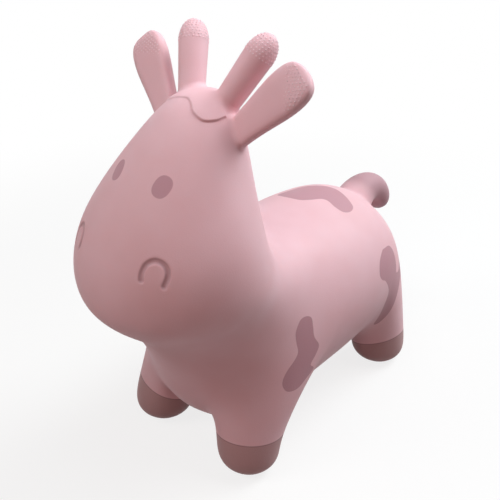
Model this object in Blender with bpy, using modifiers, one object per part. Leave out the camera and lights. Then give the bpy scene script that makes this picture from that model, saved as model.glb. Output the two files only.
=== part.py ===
"""Bouncy ride on cow, a hopper for a small child.

One hollow skin of soft PVC, held up by air.  The trunk is the seat, the horns and the
ears are the grips, and four stub legs squash and spring back as the child bounces.  A
valve with a push-in plug is let into the belly.  The skin is divided where it flexes:
each leg, horn, ear and tail has a soft root that bends and a firmer end that moves.

Frame: +Z up, the nose towards -Y, the animal's left towards +X.  The origin is on the
floor under the middle of the whole length.  All sizes are in metres.
"""

import math

import bmesh
import bpy
from mathutils import Matrix, Vector

# Overall sizes of the blown-up skin
SEAT_HEIGHT = 0.280
CROWN_HEIGHT = 0.490
BODY_WIDTH = 0.252
MUZZLE_REACH = 0.310
RUMP_REACH = 0.217

# The waist, from which reaches are counted both ways, stands this far behind the origin
WAIST_ALONG = 0.025

# The skin's wall, and the gap left where two of its pieces meet
SKIN_WALL = 0.0030
SEAM_GAP = 0.0003

# How far cutters run past what they cut
CUT_OVERRUN = 0.010

# Subdivision of the skin's outside, of its inside and of the limbs
FORM_LEVELS = 2
CORE_LEVELS = 1
LIMB_LEVELS = 1

# Facets round a limb, a cutting drum and the turned pieces
LIMB_SEGMENTS = 10
DRUM_SEGMENTS = 40
HORN_STEPS = 14
DOME_STEPS = 4
VALVE_STEPS = 20
MERGE_DISTANCE = 0.00001

# Turns from the front of a section round to its back, as shares of half a turn.  The
# second to the fourth lie over a leg.
COLUMN_TURN_SHARES = (0.0, 0.117, 0.322, 0.544, 0.767, 1.0)
FORM_SEGMENTS = 2 * (len(COLUMN_TURN_SHARES) - 1)

# Stations along the animal, nose end first.  Each gives the front or lower point and the
# back or upper point of a section (along, up), its width as a share of BODY_WIDTH, and
# where between the two points the section is widest.  Along is a share of MUZZLE_REACH
# forwards and of RUMP_REACH backwards.  Up is 0 on the floor, 1 at the seat and 2 at the
# crown.
HEAD_STATION_SHARES = (
    ((-0.59, 1.945), (-0.34, 1.926), 0.290, 0.50),
    ((-0.72, 1.762), (-0.335, 1.736), 0.500, 0.50),
    ((-0.835, 1.540), (-0.36, 1.501), 0.748, 0.50),
    ((-0.955, 1.281), (-0.355, 1.265), 0.965, 0.50),
    ((-1.013, 1.005), (-0.29, 1.099), 1.000, 0.52),
    ((-0.942, 0.876), (-0.21, 1.041), 0.925, 0.54),
)
TRUNK_STATION_SHARES = (
    ((-0.770, 0.735), (-0.12, 1.029), 0.860, 0.52),
    ((-0.68, 0.460), (-0.02, 1.027), 0.90, 0.50),
    ((-0.61, 0.230), (0.10, 1.040), 0.94, 0.50),
    ((-0.42, 0.178), (0.26, 1.040), 1.00, 0.50),
    ((0.01, 0.166), (0.49, 1.019), 1.00, 0.50),
    ((0.36, 0.186), (0.635, 0.988), 0.94, 0.50),
    ((0.65, 0.222), (0.76, 0.915), 0.81, 0.50),
    ((0.84, 0.326), (0.85, 0.821), 0.63, 0.50),
    ((0.95, 0.469), (0.95, 0.717), 0.39, 0.50),
)
CROWN_POLE_SHARES = (-0.455, 2.0)
RUMP_POLE_SHARES = (1.005, 0.589)

# The seam between head and trunk, as a share of the way from the last section of the
# head to the second section of the trunk
NECK_SEAM_SHARE = 0.50

# Legs and hooves.  The feet's places are shares of BODY_WIDTH and of the two reaches, and
# the heights of the hoof, of the leg's cage ring and of its seam are shares of SEAT_HEIGHT.
FOOT_SPREAD_SHARE = 0.635
FOOT_ALONG_SHARES = {"front": -0.5161, "hind": 0.6912}
HOOF_HEIGHT_SHARE = 0.143
LEG_RING_SHARE = 0.1786
LEG_SEAM_SHARE = 0.3286
HOOF_RADIUS = 0.0428
LEG_RADIUS = 0.0400
LEG_LEAN = 0.002
LEG_SEAM_RADIUS = 0.052

# How deep the floor cuts the round of the hooves, which gives each a flat sole
SOLE_CUT = 0.0005

# Height of a hoof's widest ring as a share of its height, and width of its sole
SOLE_ROUND_SHARE = 0.36
SOLE_SHARE = 0.52

# Rows and columns of the cage that a leg is drawn out of, and the places of their
# crossings round its middle
FIRST_LEG_STATION = {"front": 7, "hind": 11}
LEG_COLUMNS = (1, 2, 3)
LEG_PLACES = (-1.0, 0.0, 1.0)

# Horns: the left one's base as (sideways, along, up) shares, and the way to its tip
HORN_BASE_SHARES = (0.205, -0.439, 1.912)
HORN_REACH = (0.0320, 0.0405, 0.0715)
HORN_RADIUS = 0.0150
HORN_TIP_RADIUS = 0.0172
HORN_WALL = 0.0035
HORN_FLARE = 0.0025
HORN_SINK = 0.022
HORN_ROOT_SHARE = 0.26

# Ears: the left one's base as (sideways, along, up) shares, the way to its tip, and how
# far its face looks up for each step that it looks forward
EAR_BASE_SHARES = (0.408, -0.4800, 1.788)
EAR_REACH = (0.0690, 0.0323, 0.0735)
EAR_WIDTH = 0.0505
EAR_THICKNESS = 0.0260
EAR_WALL = 0.0040
EAR_FACE_RISE_SHARE = 0.34
EAR_ROOT_SHARE = 0.26

# Stations of an ear, tip first: share of its length, of its width and of its thickness
EAR_STATION_SHARES = (
    (0.975, 0.66, 0.62),
    (0.88, 0.95, 0.95),
    (0.66, 1.00, 1.00),
    (0.38, 0.80, 0.88),
    (0.10, 0.64, 0.82),
    (-0.14, 0.66, 0.86),
)

# What of an ear's thickness stands past its tip, and lies in front of its middle plane,
# and how square the front of a section is
EAR_TIP_SHARE = 0.04
EAR_FACE_SHARE = 0.36
EAR_FACE_POWER_SHARE = 0.45

# The tail curls round a point behind the rump
TAIL_RADIUS = 0.0225
TAIL_WALL = 0.0055
TAIL_CURL_RADIUS = 0.043
TAIL_CURL_CENTRE_SHARES = (0.93, 0.745)
TAIL_START_ANGLE = math.radians(150.0)
TAIL_END_ANGLE = math.radians(5.0)

# Stations of the tail, tip first: share of the curl and of the radius
TAIL_STATION_SHARES = (
    (1.07, 0.66),
    (0.95, 0.96),
    (0.72, 1.00),
    (0.48, 1.02),
    (0.24, 1.18),
    (0.02, 1.40),
)

# Shares of the curl at which the tail ends, starts, bends and has its seam
TAIL_TIP_SHARE = 1.14
TAIL_SUNK_SHARE = -0.10
TAIL_PIVOT_SHARE = 0.36
TAIL_SEAM_SHARE = 0.48

# Valve, whose middle lies this share of RUMP_REACH behind the waist
VALVE_ALONG_SHARE = 0.092
COLLAR_RADIUS = 0.0140
COLLAR_DEPTH = 0.0100
BORE_RADIUS = 0.0055
PLUG_CLEARANCE = 0.0004
PLUG_LENGTH = 0.0125
PLUG_HEAD_RADIUS = 0.0105
PLUG_HEAD_THICKNESS = 0.0030

# Slope of the plug's nose and of the edge of its head
PLUG_NOSE_SHARE = 0.80
PLUG_EDGE_SHARE = 0.40

# Colours of the vinyl, linear, with its roughness
SKIN_COLOUR = (0.76, 0.50, 0.55)
HOOF_COLOUR = (0.40, 0.21, 0.22)
TAIL_COLOUR = (0.72, 0.46, 0.51)
VALVE_COLOUR = (0.80, 0.66, 0.68)
VINYL_ROUGHNESS = 0.55

SIDES = {"left": 1.0, "right": -1.0}


def clear_scene():
    for obj in list(bpy.data.objects):
        bpy.data.objects.remove(obj)


def add_collection(name):
    collection = bpy.data.collections.new(name)
    bpy.context.scene.collection.children.link(collection)
    return collection


def dress(obj, colour):
    """Gives the object a vinyl of its own."""
    material = bpy.data.materials.new(obj.name + "_vinyl")
    material.use_nodes = True
    shader = material.node_tree.nodes["Principled BSDF"]
    shader.inputs["Base Color"].default_value = (*colour, 1.0)
    shader.inputs["Roughness"].default_value = VINYL_ROUGHNESS
    shader.inputs["Metallic"].default_value = 0.0
    obj.data.materials.clear()
    obj.data.materials.append(material)


def add_object(name, mesh, collection, frame=None):
    obj = bpy.data.objects.new(name, mesh)
    collection.objects.link(obj)
    if frame:
        obj.matrix_world = frame
    mesh.shade_smooth()
    return obj


def as_cutter(obj):
    obj.hide_render = True
    obj.display_type = "WIRE"
    return obj


def subdivide(obj, levels):
    modifier = obj.modifiers.new("Swell", "SUBSURF")
    modifier.levels = levels
    modifier.render_levels = levels


def offset_skin(obj, distance):
    """Moves the skin out by the distance, or in where it is negative."""
    modifier = obj.modifiers.new("Offset", "DISPLACE")
    modifier.strength = distance
    modifier.mid_level = 0.0


def combine(obj, cutter, operation):
    modifier = obj.modifiers.new(cutter.name, "BOOLEAN")
    modifier.operation = operation
    modifier.object = cutter


def cut(obj, *cutters):
    for cutter in cutters:
        combine(obj, cutter, "DIFFERENCE")


def ring_swell(count):
    """How far a cage ring of this many points stands outside the skin that it makes."""
    return 6.0 / (4.0 + 2.0 * math.cos(math.tau / count))


def ring_cage(count, segments):
    """A ball primitive for a cage, as its bmesh, its grid of ring vertices and its poles."""
    bm = bmesh.new()
    rows = count + 1
    bmesh.ops.create_uvsphere(bm, u_segments=segments, v_segments=rows, radius=1.0)
    grid = {}
    poles = {}
    for vert in bm.verts:
        row = round(math.acos(max(-1.0, min(1.0, vert.co.z))) / math.pi * rows)
        column = round(math.atan2(vert.co.x, vert.co.y) / math.tau * segments) % segments
        if 0 < row < rows:
            grid[row - 1, column] = vert
        else:
            poles["first" if row == 0 else "last"] = vert
    return bm, grid, poles


def finished_mesh(name, bm):
    bm.normal_update()
    bmesh.ops.recalc_face_normals(bm, faces=bm.faces)
    mesh = bpy.data.meshes.new(name)
    bm.to_mesh(mesh)
    bm.free()
    return mesh


# The blown-up form of trunk, head and legs


def raised(up):
    """A height: 0 is the floor, 1 the seat and 2 the crown."""
    return SEAT_HEIGHT * min(up, 1.0) + (CROWN_HEIGHT - SEAT_HEIGHT) * max(up - 1.0, 0.0)


def midline(shares):
    """A point on the animal's middle plane."""
    along, up = shares
    reach = MUZZLE_REACH if along < 0.0 else RUMP_REACH
    return Vector((0.0, WAIST_ALONG + along * reach, raised(up)))


def beside(shares, side):
    """A point off the middle plane, on the side named."""
    sideways, along, up = shares
    place = midline((along, up))
    place.x = SIDES[side] * sideways * BODY_WIDTH / 2.0
    return place


def stations():
    """The animal's sections as (front point, back point, half width, widest share)."""
    found = []
    for front, back, width_share, widest in HEAD_STATION_SHARES + TRUNK_STATION_SHARES:
        half_width = width_share * BODY_WIDTH / 2.0
        found.append((midline(front), midline(back), half_width, widest))
    return found


def station_point(station, angle):
    """A cage point of a section.  The angle is 0 at its front and half a turn at its back."""
    front, back, half_width, widest = station
    centre = back.lerp(front, widest)
    end = front if math.cos(angle) >= 0.0 else back
    swell = ring_swell(FORM_SEGMENTS)
    point = centre + (end - centre) * abs(math.cos(angle)) * swell
    point.x = half_width * math.sin(angle) * swell
    return point


def column_angle(column):
    """The turn of a cage column, which the right side mirrors."""
    if column < len(COLUMN_TURN_SHARES):
        return math.pi * COLUMN_TURN_SHARES[column]
    return -math.pi * COLUMN_TURN_SHARES[FORM_SEGMENTS - column]


def foot_place(which, side):
    return beside((FOOT_SPREAD_SHARE, FOOT_ALONG_SHARES[which], 0.0), side)


def leg_rings():
    """The cage rings down a leg, as (height, radius, lean in under the body)."""
    return (
        (raised(LEG_RING_SHARE), LEG_RADIUS, LEG_LEAN),
        (raised(HOOF_HEIGHT_SHARE) * SOLE_ROUND_SHARE, HOOF_RADIUS, 0.0),
        (-SOLE_CUT, HOOF_RADIUS * SOLE_SHARE, 0.0),
    )


def pull_leg(bm, grid, which, side):
    """Draws a leg out of the four faces of the cage that lie over its foot."""
    first = FIRST_LEG_STATION[which]
    sign = SIDES[side]
    columns = [round(sign * step) % FORM_SEGMENTS for step in LEG_COLUMNS]
    block = {}
    for row, behind in enumerate(LEG_PLACES):
        for column, outward in zip(columns, LEG_PLACES):
            plan = Vector((sign * outward, behind, 0.0))
            block[grid[first + row, column]] = plan.normalized() if plan.length else plan
    faces = [face for face in bm.faces if all(vert in block for vert in face.verts)]
    ring = list(block)
    swell = ring_swell(len(block) - 1)
    for height, radius, lean in leg_rings():
        made = bmesh.ops.extrude_face_region(bm, geom=faces)["geom"]
        bmesh.ops.delete(bm, geom=faces, context="FACES_ONLY")
        faces = [item for item in made if isinstance(item, bmesh.types.BMFace)]
        lower = [item for item in made if isinstance(item, bmesh.types.BMVert)]
        plans = [block[min(ring, key=lambda old: (old.co - new.co).length)] for new in lower]
        centre = foot_place(which, side) + Vector((-sign * lean, 0.0, height))
        for vert, plan in zip(lower, plans):
            vert.co = centre + plan * radius * swell
            block[vert] = plan
        ring = lower


def form_cage():
    sections = stations()
    bm, grid, poles = ring_cage(len(sections), FORM_SEGMENTS)
    for (row, column), vert in grid.items():
        vert.co = station_point(sections[row], column_angle(column))
    poles["first"].co = midline(CROWN_POLE_SHARES)
    poles["last"].co = midline(RUMP_POLE_SHARES)
    for which in FIRST_LEG_STATION:
        for side in SIDES:
            pull_leg(bm, grid, which, side)
    loose = [vert for vert in bm.verts if not vert.link_faces]
    bmesh.ops.delete(bm, geom=loose, context="VERTS")
    return finished_mesh("form_cage", bm)


def add_form(name, cage, collection, levels, origin=Vector()):
    """The whole form as an object with its origin at the place given."""
    mesh = cage.copy()
    mesh.transform(Matrix.Translation(-origin))
    obj = add_object(name, mesh, collection, Matrix.Translation(origin))
    subdivide(obj, levels)
    return obj


# Cutters


def add_half_space(name, frame, collection):
    """A block that fills everything above the frame's XY plane, as far as the part goes."""
    size = 2.0 * (MUZZLE_REACH + RUMP_REACH)
    bm = bmesh.new()
    bmesh.ops.create_cube(bm, size=size)
    bmesh.ops.translate(bm, verts=bm.verts, vec=(0.0, 0.0, size / 2.0))
    return as_cutter(add_object(name, finished_mesh(name, bm), collection, frame))


def add_drum(name, radius, low, high, collection, frame):
    """A round cutter along the frame's Z axis, between two heights."""
    bm = bmesh.new()
    bmesh.ops.create_cone(
        bm,
        cap_ends=True,
        segments=DRUM_SEGMENTS,
        radius1=radius,
        radius2=radius,
        depth=high - low,
    )
    bmesh.ops.translate(bm, verts=bm.verts, vec=(0.0, 0.0, (low + high) / 2.0))
    return as_cutter(add_object(name, finished_mesh(name, bm), collection, frame))


def lean_frame(origin, up, facing):
    """A frame at the origin with Z along up and -Y turned towards facing."""
    z = up.normalized()
    y = (z * facing.dot(z) - facing).normalized()
    x = y.cross(z)
    frame = Matrix((x, y, z)).transposed().to_4x4()
    frame.translation = origin
    return frame


def shifted(frame, distance):
    """The frame moved along its own Z axis."""
    return frame @ Matrix.Translation((0.0, 0.0, distance))


def add_seam(name, frame, collection):
    """The blocks that leave the piece under a seam and the piece over it, in that order."""
    lower = shifted(frame, -SEAM_GAP / 2.0)
    upper = shifted(frame, SEAM_GAP / 2.0) @ Matrix.Rotation(math.pi, 4, "X")
    leaves_lower = add_half_space(name + "_over", lower, collection)
    leaves_upper = add_half_space(name + "_under", upper, collection)
    return leaves_lower, leaves_upper


def neck_frame():
    """The seam under the chin and behind the neck, between two sections."""
    sections = stations()
    last_head = len(HEAD_STATION_SHARES)
    upper, lower = sections[last_head], sections[last_head + 1]
    front = upper[0].lerp(lower[0], NECK_SEAM_SHARE)
    back = upper[1].lerp(lower[1], NECK_SEAM_SHARE)
    sideways = Vector((1.0, 0.0, 0.0))
    normal = sideways.cross(back - front)
    return lean_frame(front.lerp(back, 0.5), normal, front - back)


# Limbs


def add_turned(name, profile, steps, closed, collection, frame):
    """A profile of (radius, height) points turned about the frame's Z axis."""
    count = len(profile)
    edges = [(place, (place + 1) % count) for place in range(count if closed else count - 1)]
    mesh = bpy.data.meshes.new(name)
    mesh.from_pydata([(radius, 0.0, height) for radius, height in profile], edges, [])
    obj = add_object(name, mesh, collection, frame)
    turn = obj.modifiers.new("Turn", "SCREW")
    turn.axis = "Z"
    turn.steps = steps
    turn.render_steps = steps
    turn.use_merge_vertices = True
    turn.merge_threshold = MERGE_DISTANCE
    return obj


def round_end(level, radius, start, end):
    """Points (radius, height) of a dome over a level, between two angles above it."""
    step = (end - start) / DOME_STEPS
    angles = [start + step * place for place in range(DOME_STEPS + 1)]
    return [(radius * math.cos(a), level + radius * math.sin(a)) for a in angles]


class Limb:
    """Where a straight limb stands: its length, its seam and the pivot in its root.

    Heights along the limb are counted from the pivot, which is the frame's origin.
    """

    def __init__(self, base_shares, reach, root_share, facing, side):
        base = beside(base_shares, side)
        sideways, back, up = reach
        way = Vector((SIDES[side] * sideways, back, up))
        self.length = way.length
        root = self.length * root_share
        self.base = -root / 2.0
        self.seam = root / 2.0
        self.tip = self.length - root / 2.0
        self.frame = lean_frame(base + way * root_share / 2.0, way, facing)


def horn_limb(side):
    facing = Vector((0.0, -1.0, 0.0))
    return Limb(HORN_BASE_SHARES, HORN_REACH, HORN_ROOT_SHARE, facing, side)


def horn_profile(limb):
    """The horn's shell, from its tip down the outside and back up the inside."""
    level = limb.tip - HORN_TIP_RADIUS
    rim = limb.seam + SEAM_GAP / 2.0
    quarter = math.pi / 2.0
    outer = round_end(level, HORN_TIP_RADIUS, quarter, 0.0)
    inner = round_end(level, HORN_TIP_RADIUS - HORN_WALL, 0.0, quarter)
    outer[0] = (0.0, outer[0][1])
    inner[-1] = (0.0, inner[-1][1])
    return outer + [(HORN_RADIUS, rim), (HORN_RADIUS - HORN_WALL, rim)] + inner


def horn_root_profile(limb):
    """The root's tube, which widens a little where it runs into the head."""
    rim = limb.seam - SEAM_GAP / 2.0
    foot = limb.base - HORN_SINK
    bore = HORN_RADIUS - HORN_WALL
    return [
        (HORN_RADIUS, rim),
        (HORN_RADIUS, limb.base),
        (HORN_RADIUS + HORN_FLARE, foot),
        (bore, foot),
        (bore, rim),
    ]


def ear_limb(side):
    facing = Vector((0.0, -1.0, EAR_FACE_RISE_SHARE))
    return Limb(EAR_BASE_SHARES, EAR_REACH, EAR_ROOT_SHARE, facing, side)


def ear_cage(limb):
    """The paddle: a flat face towards -Y, a round back, and a tapering root."""
    bm, grid, poles = ring_cage(len(EAR_STATION_SHARES), LIMB_SEGMENTS)
    swell = ring_swell(LIMB_SEGMENTS)
    for (row, column), vert in grid.items():
        along, width_share, thickness_share = EAR_STATION_SHARES[row]
        angle = column * math.tau / LIMB_SEGMENTS
        across = math.cos(angle) * width_share * EAR_WIDTH / 2.0
        depth = math.sin(angle) * (1.0 - EAR_FACE_SHARE)
        if math.sin(angle) < 0.0:
            depth = -EAR_FACE_SHARE * abs(math.sin(angle)) ** EAR_FACE_POWER_SHARE
        depth *= thickness_share * EAR_THICKNESS
        height = limb.base + along * limb.length
        vert.co = (across * swell, depth * swell, height)
    poles["first"].co = (0.0, 0.0, limb.tip + EAR_THICKNESS * EAR_TIP_SHARE)
    poles["last"].co = (0.0, 0.0, limb.base - EAR_THICKNESS)
    return finished_mesh("ear_cage", bm)


def tail_point(share):
    """The tail's middle line at a share of its curl, with the direction to its tip."""
    angle = TAIL_START_ANGLE + (TAIL_END_ANGLE - TAIL_START_ANGLE) * share
    outward = Vector((0.0, math.cos(angle), math.sin(angle)))
    centre = midline(TAIL_CURL_CENTRE_SHARES)
    forward = Vector((0.0, math.sin(angle), -math.cos(angle)))
    return centre + outward * TAIL_CURL_RADIUS, forward, outward


def tail_frame(share):
    place, forward, outward = tail_point(share)
    return lean_frame(place, forward, outward)


def tail_cage(pivot):
    """The curl, in the frame of its pivot."""
    bm, grid, poles = ring_cage(len(TAIL_STATION_SHARES), LIMB_SEGMENTS)
    sideways = Vector((1.0, 0.0, 0.0))
    for (row, column), vert in grid.items():
        share, radius_share = TAIL_STATION_SHARES[row]
        place, _, outward = tail_point(share)
        angle = column * math.tau / LIMB_SEGMENTS
        spoke = sideways * math.cos(angle) + outward * math.sin(angle)
        radius = radius_share * TAIL_RADIUS * ring_swell(LIMB_SEGMENTS)
        vert.co = place + spoke * radius
    poles["first"].co = tail_point(TAIL_TIP_SHARE)[0]
    poles["last"].co = tail_point(TAIL_SUNK_SHARE)[0]
    bmesh.ops.transform(bm, matrix=pivot.inverted(), verts=bm.verts)
    return finished_mesh("tail_cage", bm)


def add_swollen(name, cage, collection, frame, wall=0.0):
    """A cage with its subdivision, and moved in by a wall where one is given."""
    obj = add_object(name, cage.copy(), collection, frame)
    if wall:
        offset_skin(obj, -wall)
    else:
        subdivide(obj, LIMB_LEVELS)
    return obj


# The assembly


class Builder:
    """Holds the two collections and the cutters that several pieces share."""

    def __init__(self):
        self.parts = add_collection("bouncy_ride_on_cow")
        self.cutters = add_collection("cutters")
        self.cage = form_cage()
        self.core = add_form("form_core", self.cage, self.cutters, CORE_LEVELS)
        offset_skin(self.core, -SKIN_WALL)
        self.clear = add_form("form_clear", self.cage, self.cutters, FORM_LEVELS)
        offset_skin(self.clear, SEAM_GAP)
        as_cutter(self.core)
        as_cutter(self.clear)
        self.head_bores = []
        self.trunk_bores = []

    def skin_piece(self, name, colour, origin=Vector()):
        obj = add_form(name, self.cage, self.parts, FORM_LEVELS, origin)
        dress(obj, colour)
        return obj

    def belly_height(self, along):
        """The height of the skin's underside on the middle line."""
        form = add_form("form_probe", self.cage, self.cutters, FORM_LEVELS)
        as_cutter(form)
        bpy.context.view_layer.update()
        graph = bpy.context.evaluated_depsgraph_get()
        start = Vector((0.0, along, -CUT_OVERRUN))
        upward = Vector((0.0, 0.0, 1.0))
        found, place, _, _ = form.evaluated_get(graph).ray_cast(start, upward)
        bpy.data.objects.remove(form)
        if not found:
            raise RuntimeError("no skin over the valve's place")
        return place.z

    def add_horn(self, side):
        limb = horn_limb(side)
        root = add_turned(
            f"horn_root_{side}",
            horn_root_profile(limb),
            HORN_STEPS,
            True,
            self.parts,
            limb.frame,
        )
        cut(root, self.clear)
        horn = add_turned(
            f"horn_{side}",
            horn_profile(limb),
            HORN_STEPS,
            False,
            self.parts,
            limb.frame,
        )
        for piece in (root, horn):
            dress(piece, SKIN_COLOUR)
        foot = limb.base - HORN_SINK
        bore = HORN_RADIUS - HORN_WALL
        name = f"horn_bore_{side}"
        drum = add_drum(name, bore, foot, limb.seam, self.cutters, limb.frame)
        self.head_bores.append(drum)

    def add_ear(self, side):
        limb = ear_limb(side)
        cage = ear_cage(limb)
        name = f"ear_core_{side}"
        core = add_swollen(name, cage, self.cutters, limb.frame, EAR_WALL)
        as_cutter(core)
        self.head_bores.append(core)
        seam = shifted(limb.frame, limb.seam)
        leaves_root, leaves_ear = add_seam(f"ear_seam_{side}", seam, self.cutters)
        root = add_swollen(f"ear_root_{side}", cage, self.parts, limb.frame)
        cut(root, leaves_root, core, self.clear)
        ear = add_swollen(f"ear_{side}", cage, self.parts, limb.frame)
        cut(ear, leaves_ear, core)
        for piece in (root, ear):
            dress(piece, SKIN_COLOUR)

    def add_tail(self):
        pivot = tail_frame(TAIL_PIVOT_SHARE)
        cage = tail_cage(pivot)
        core = add_swollen("tail_core", cage, self.cutters, pivot, TAIL_WALL)
        as_cutter(core)
        self.trunk_bores.append(core)
        seam = tail_frame(TAIL_SEAM_SHARE)
        leaves_root, leaves_tail = add_seam("tail_seam", seam, self.cutters)
        root = add_swollen("tail_root", cage, self.parts, pivot)
        cut(root, leaves_root, core, self.clear)
        tail = add_swollen("tail", cage, self.parts, pivot)
        cut(tail, leaves_tail, core)
        for piece in (root, tail):
            dress(piece, TAIL_COLOUR)

    def add_leg(self, which, side):
        foot = foot_place(which, side)
        frame = Matrix.Translation(foot)
        name = f"{which}_{side}"
        half_gap = SEAM_GAP / 2.0
        hoof_height = raised(HOOF_HEIGHT_SHARE)
        seam_height = raised(LEG_SEAM_SHARE)
        leg_drum = add_drum(
            f"leg_drum_{name}",
            LEG_SEAM_RADIUS,
            hoof_height + half_gap,
            seam_height,
            self.cutters,
            frame,
        )
        hoof_drum = add_drum(
            f"hoof_drum_{name}",
            LEG_SEAM_RADIUS,
            0.0,
            hoof_height - half_gap,
            self.cutters,
            frame,
        )
        clear_drum = add_drum(
            f"leg_space_{name}",
            LEG_SEAM_RADIUS + SEAM_GAP,
            -CUT_OVERRUN,
            seam_height + SEAM_GAP,
            self.cutters,
            frame,
        )
        self.trunk_bores.append(clear_drum)
        leg = self.skin_piece(f"leg_{name}", SKIN_COLOUR)
        combine(leg, leg_drum, "INTERSECT")
        cut(leg, self.core)
        hoof = self.skin_piece(f"hoof_{name}", HOOF_COLOUR, foot)
        combine(hoof, hoof_drum, "INTERSECT")
        cut(hoof, self.core)

    def add_valve(self):
        """A moulded-in collar flush with the belly, and its plug."""
        along = midline((VALVE_ALONG_SHARE, 0.0)).y
        frame = Matrix.Translation((0.0, along, self.belly_height(along)))
        seat = PLUG_HEAD_THICKNESS + SEAM_GAP
        recess = PLUG_HEAD_RADIUS + PLUG_CLEARANCE
        collar = [
            (COLLAR_RADIUS, COLLAR_DEPTH),
            (COLLAR_RADIUS, 0.0),
            (recess, 0.0),
            (recess, seat),
            (BORE_RADIUS, seat),
            (BORE_RADIUS, COLLAR_DEPTH),
        ]
        ring = add_turned("valve_collar", collar, VALVE_STEPS, True, self.parts, frame)
        stem = BORE_RADIUS - PLUG_CLEARANCE
        edge = PLUG_HEAD_THICKNESS * PLUG_EDGE_SHARE
        plug = [
            (0.0, PLUG_LENGTH),
            (stem * PLUG_NOSE_SHARE, PLUG_LENGTH),
            (stem, PLUG_LENGTH * PLUG_NOSE_SHARE),
            (stem, PLUG_HEAD_THICKNESS),
            (PLUG_HEAD_RADIUS, PLUG_HEAD_THICKNESS),
            (PLUG_HEAD_RADIUS, edge),
            (PLUG_HEAD_RADIUS - edge, 0.0),
            (0.0, 0.0),
        ]
        bung = add_turned("valve_plug", plug, VALVE_STEPS, False, self.parts, frame)
        dress(ring, SKIN_COLOUR)
        dress(bung, VALVE_COLOUR)
        drum = add_drum(
            "valve_hole",
            COLLAR_RADIUS + SEAM_GAP,
            -CUT_OVERRUN,
            COLLAR_DEPTH + CUT_OVERRUN,
            self.cutters,
            frame,
        )
        self.trunk_bores.append(drum)

    def add_trunk_and_head(self):
        leaves_trunk, leaves_head = add_seam("neck_seam", neck_frame(), self.cutters)
        trunk = self.skin_piece("trunk_skin", SKIN_COLOUR)
        cut(trunk, leaves_trunk, self.core, *self.trunk_bores)
        head = self.skin_piece("head_skin", SKIN_COLOUR)
        cut(head, leaves_head, self.core, *self.head_bores)


def main():
    clear_scene()
    builder = Builder()
    for side in SIDES:
        builder.add_horn(side)
        builder.add_ear(side)
        for which in FIRST_LEG_STATION:
            builder.add_leg(which, side)
    builder.add_tail()
    builder.add_valve()
    builder.add_trunk_and_head()


main()
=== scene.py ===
"""Looks of the bouncy ride on cow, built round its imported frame.

The real skin is one moulding of soft PVC.  Here it is made as one surface, with soft
fillets where the horns, the ears and the tail leave it, and is then divided where it
flexes, so that each piece can follow its body.  Paint is a distance kept on the skin.
"""

import math
from functools import cache
from typing import NamedTuple

import bmesh
import bpy
import numpy as np
from bpy.props import FloatProperty, FloatVectorProperty, IntProperty, PointerProperty
from mathutils import Matrix, Vector
from mathutils.bvhtree import BVHTree


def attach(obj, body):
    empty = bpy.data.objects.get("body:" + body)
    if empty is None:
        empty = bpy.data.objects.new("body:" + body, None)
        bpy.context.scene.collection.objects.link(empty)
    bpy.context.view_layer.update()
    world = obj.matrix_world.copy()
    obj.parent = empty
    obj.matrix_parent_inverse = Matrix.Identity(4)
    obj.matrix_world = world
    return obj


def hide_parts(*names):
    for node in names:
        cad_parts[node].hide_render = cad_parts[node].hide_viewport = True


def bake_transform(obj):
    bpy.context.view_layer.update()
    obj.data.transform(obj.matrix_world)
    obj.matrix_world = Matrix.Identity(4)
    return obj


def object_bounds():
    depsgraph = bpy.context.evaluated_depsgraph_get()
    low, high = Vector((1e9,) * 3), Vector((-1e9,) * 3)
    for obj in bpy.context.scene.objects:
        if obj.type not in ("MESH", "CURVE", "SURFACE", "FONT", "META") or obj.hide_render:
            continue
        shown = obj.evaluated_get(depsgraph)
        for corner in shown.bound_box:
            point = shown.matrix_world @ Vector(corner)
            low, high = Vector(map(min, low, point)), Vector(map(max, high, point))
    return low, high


bl_info = {
    "name": "Bouncy ride on cow",
    "version": (1, 0, 0),
    "blender": (4, 5, 0),
    "location": "3D View > Sidebar > Ride on cow",
    "description": "Dresses the frame of an air-filled ride on cow",
    "category": "Object",
}

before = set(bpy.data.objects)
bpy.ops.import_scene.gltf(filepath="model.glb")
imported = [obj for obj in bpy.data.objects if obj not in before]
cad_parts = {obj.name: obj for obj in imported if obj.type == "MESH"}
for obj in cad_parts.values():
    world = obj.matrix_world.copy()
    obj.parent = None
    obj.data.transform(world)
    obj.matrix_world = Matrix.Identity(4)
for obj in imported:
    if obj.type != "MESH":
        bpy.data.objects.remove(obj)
CAD_BOX = [list(corner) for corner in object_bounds()]

MM = 0.001
SIDES = {"left": 1.0, "right": -1.0}
UP = Vector((0.0, 0.0, 1.0))
# A paint or a limb that is farther away than this counts as this far
FAR = 0.05

# Overall sizes of the blown-up skin, as in the part
SEAT_HEIGHT = 0.280
CROWN_HEIGHT = 0.490
BODY_WIDTH = 0.252
MUZZLE_REACH = 0.310
RUMP_REACH = 0.217
WAIST_ALONG = 0.025

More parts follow.
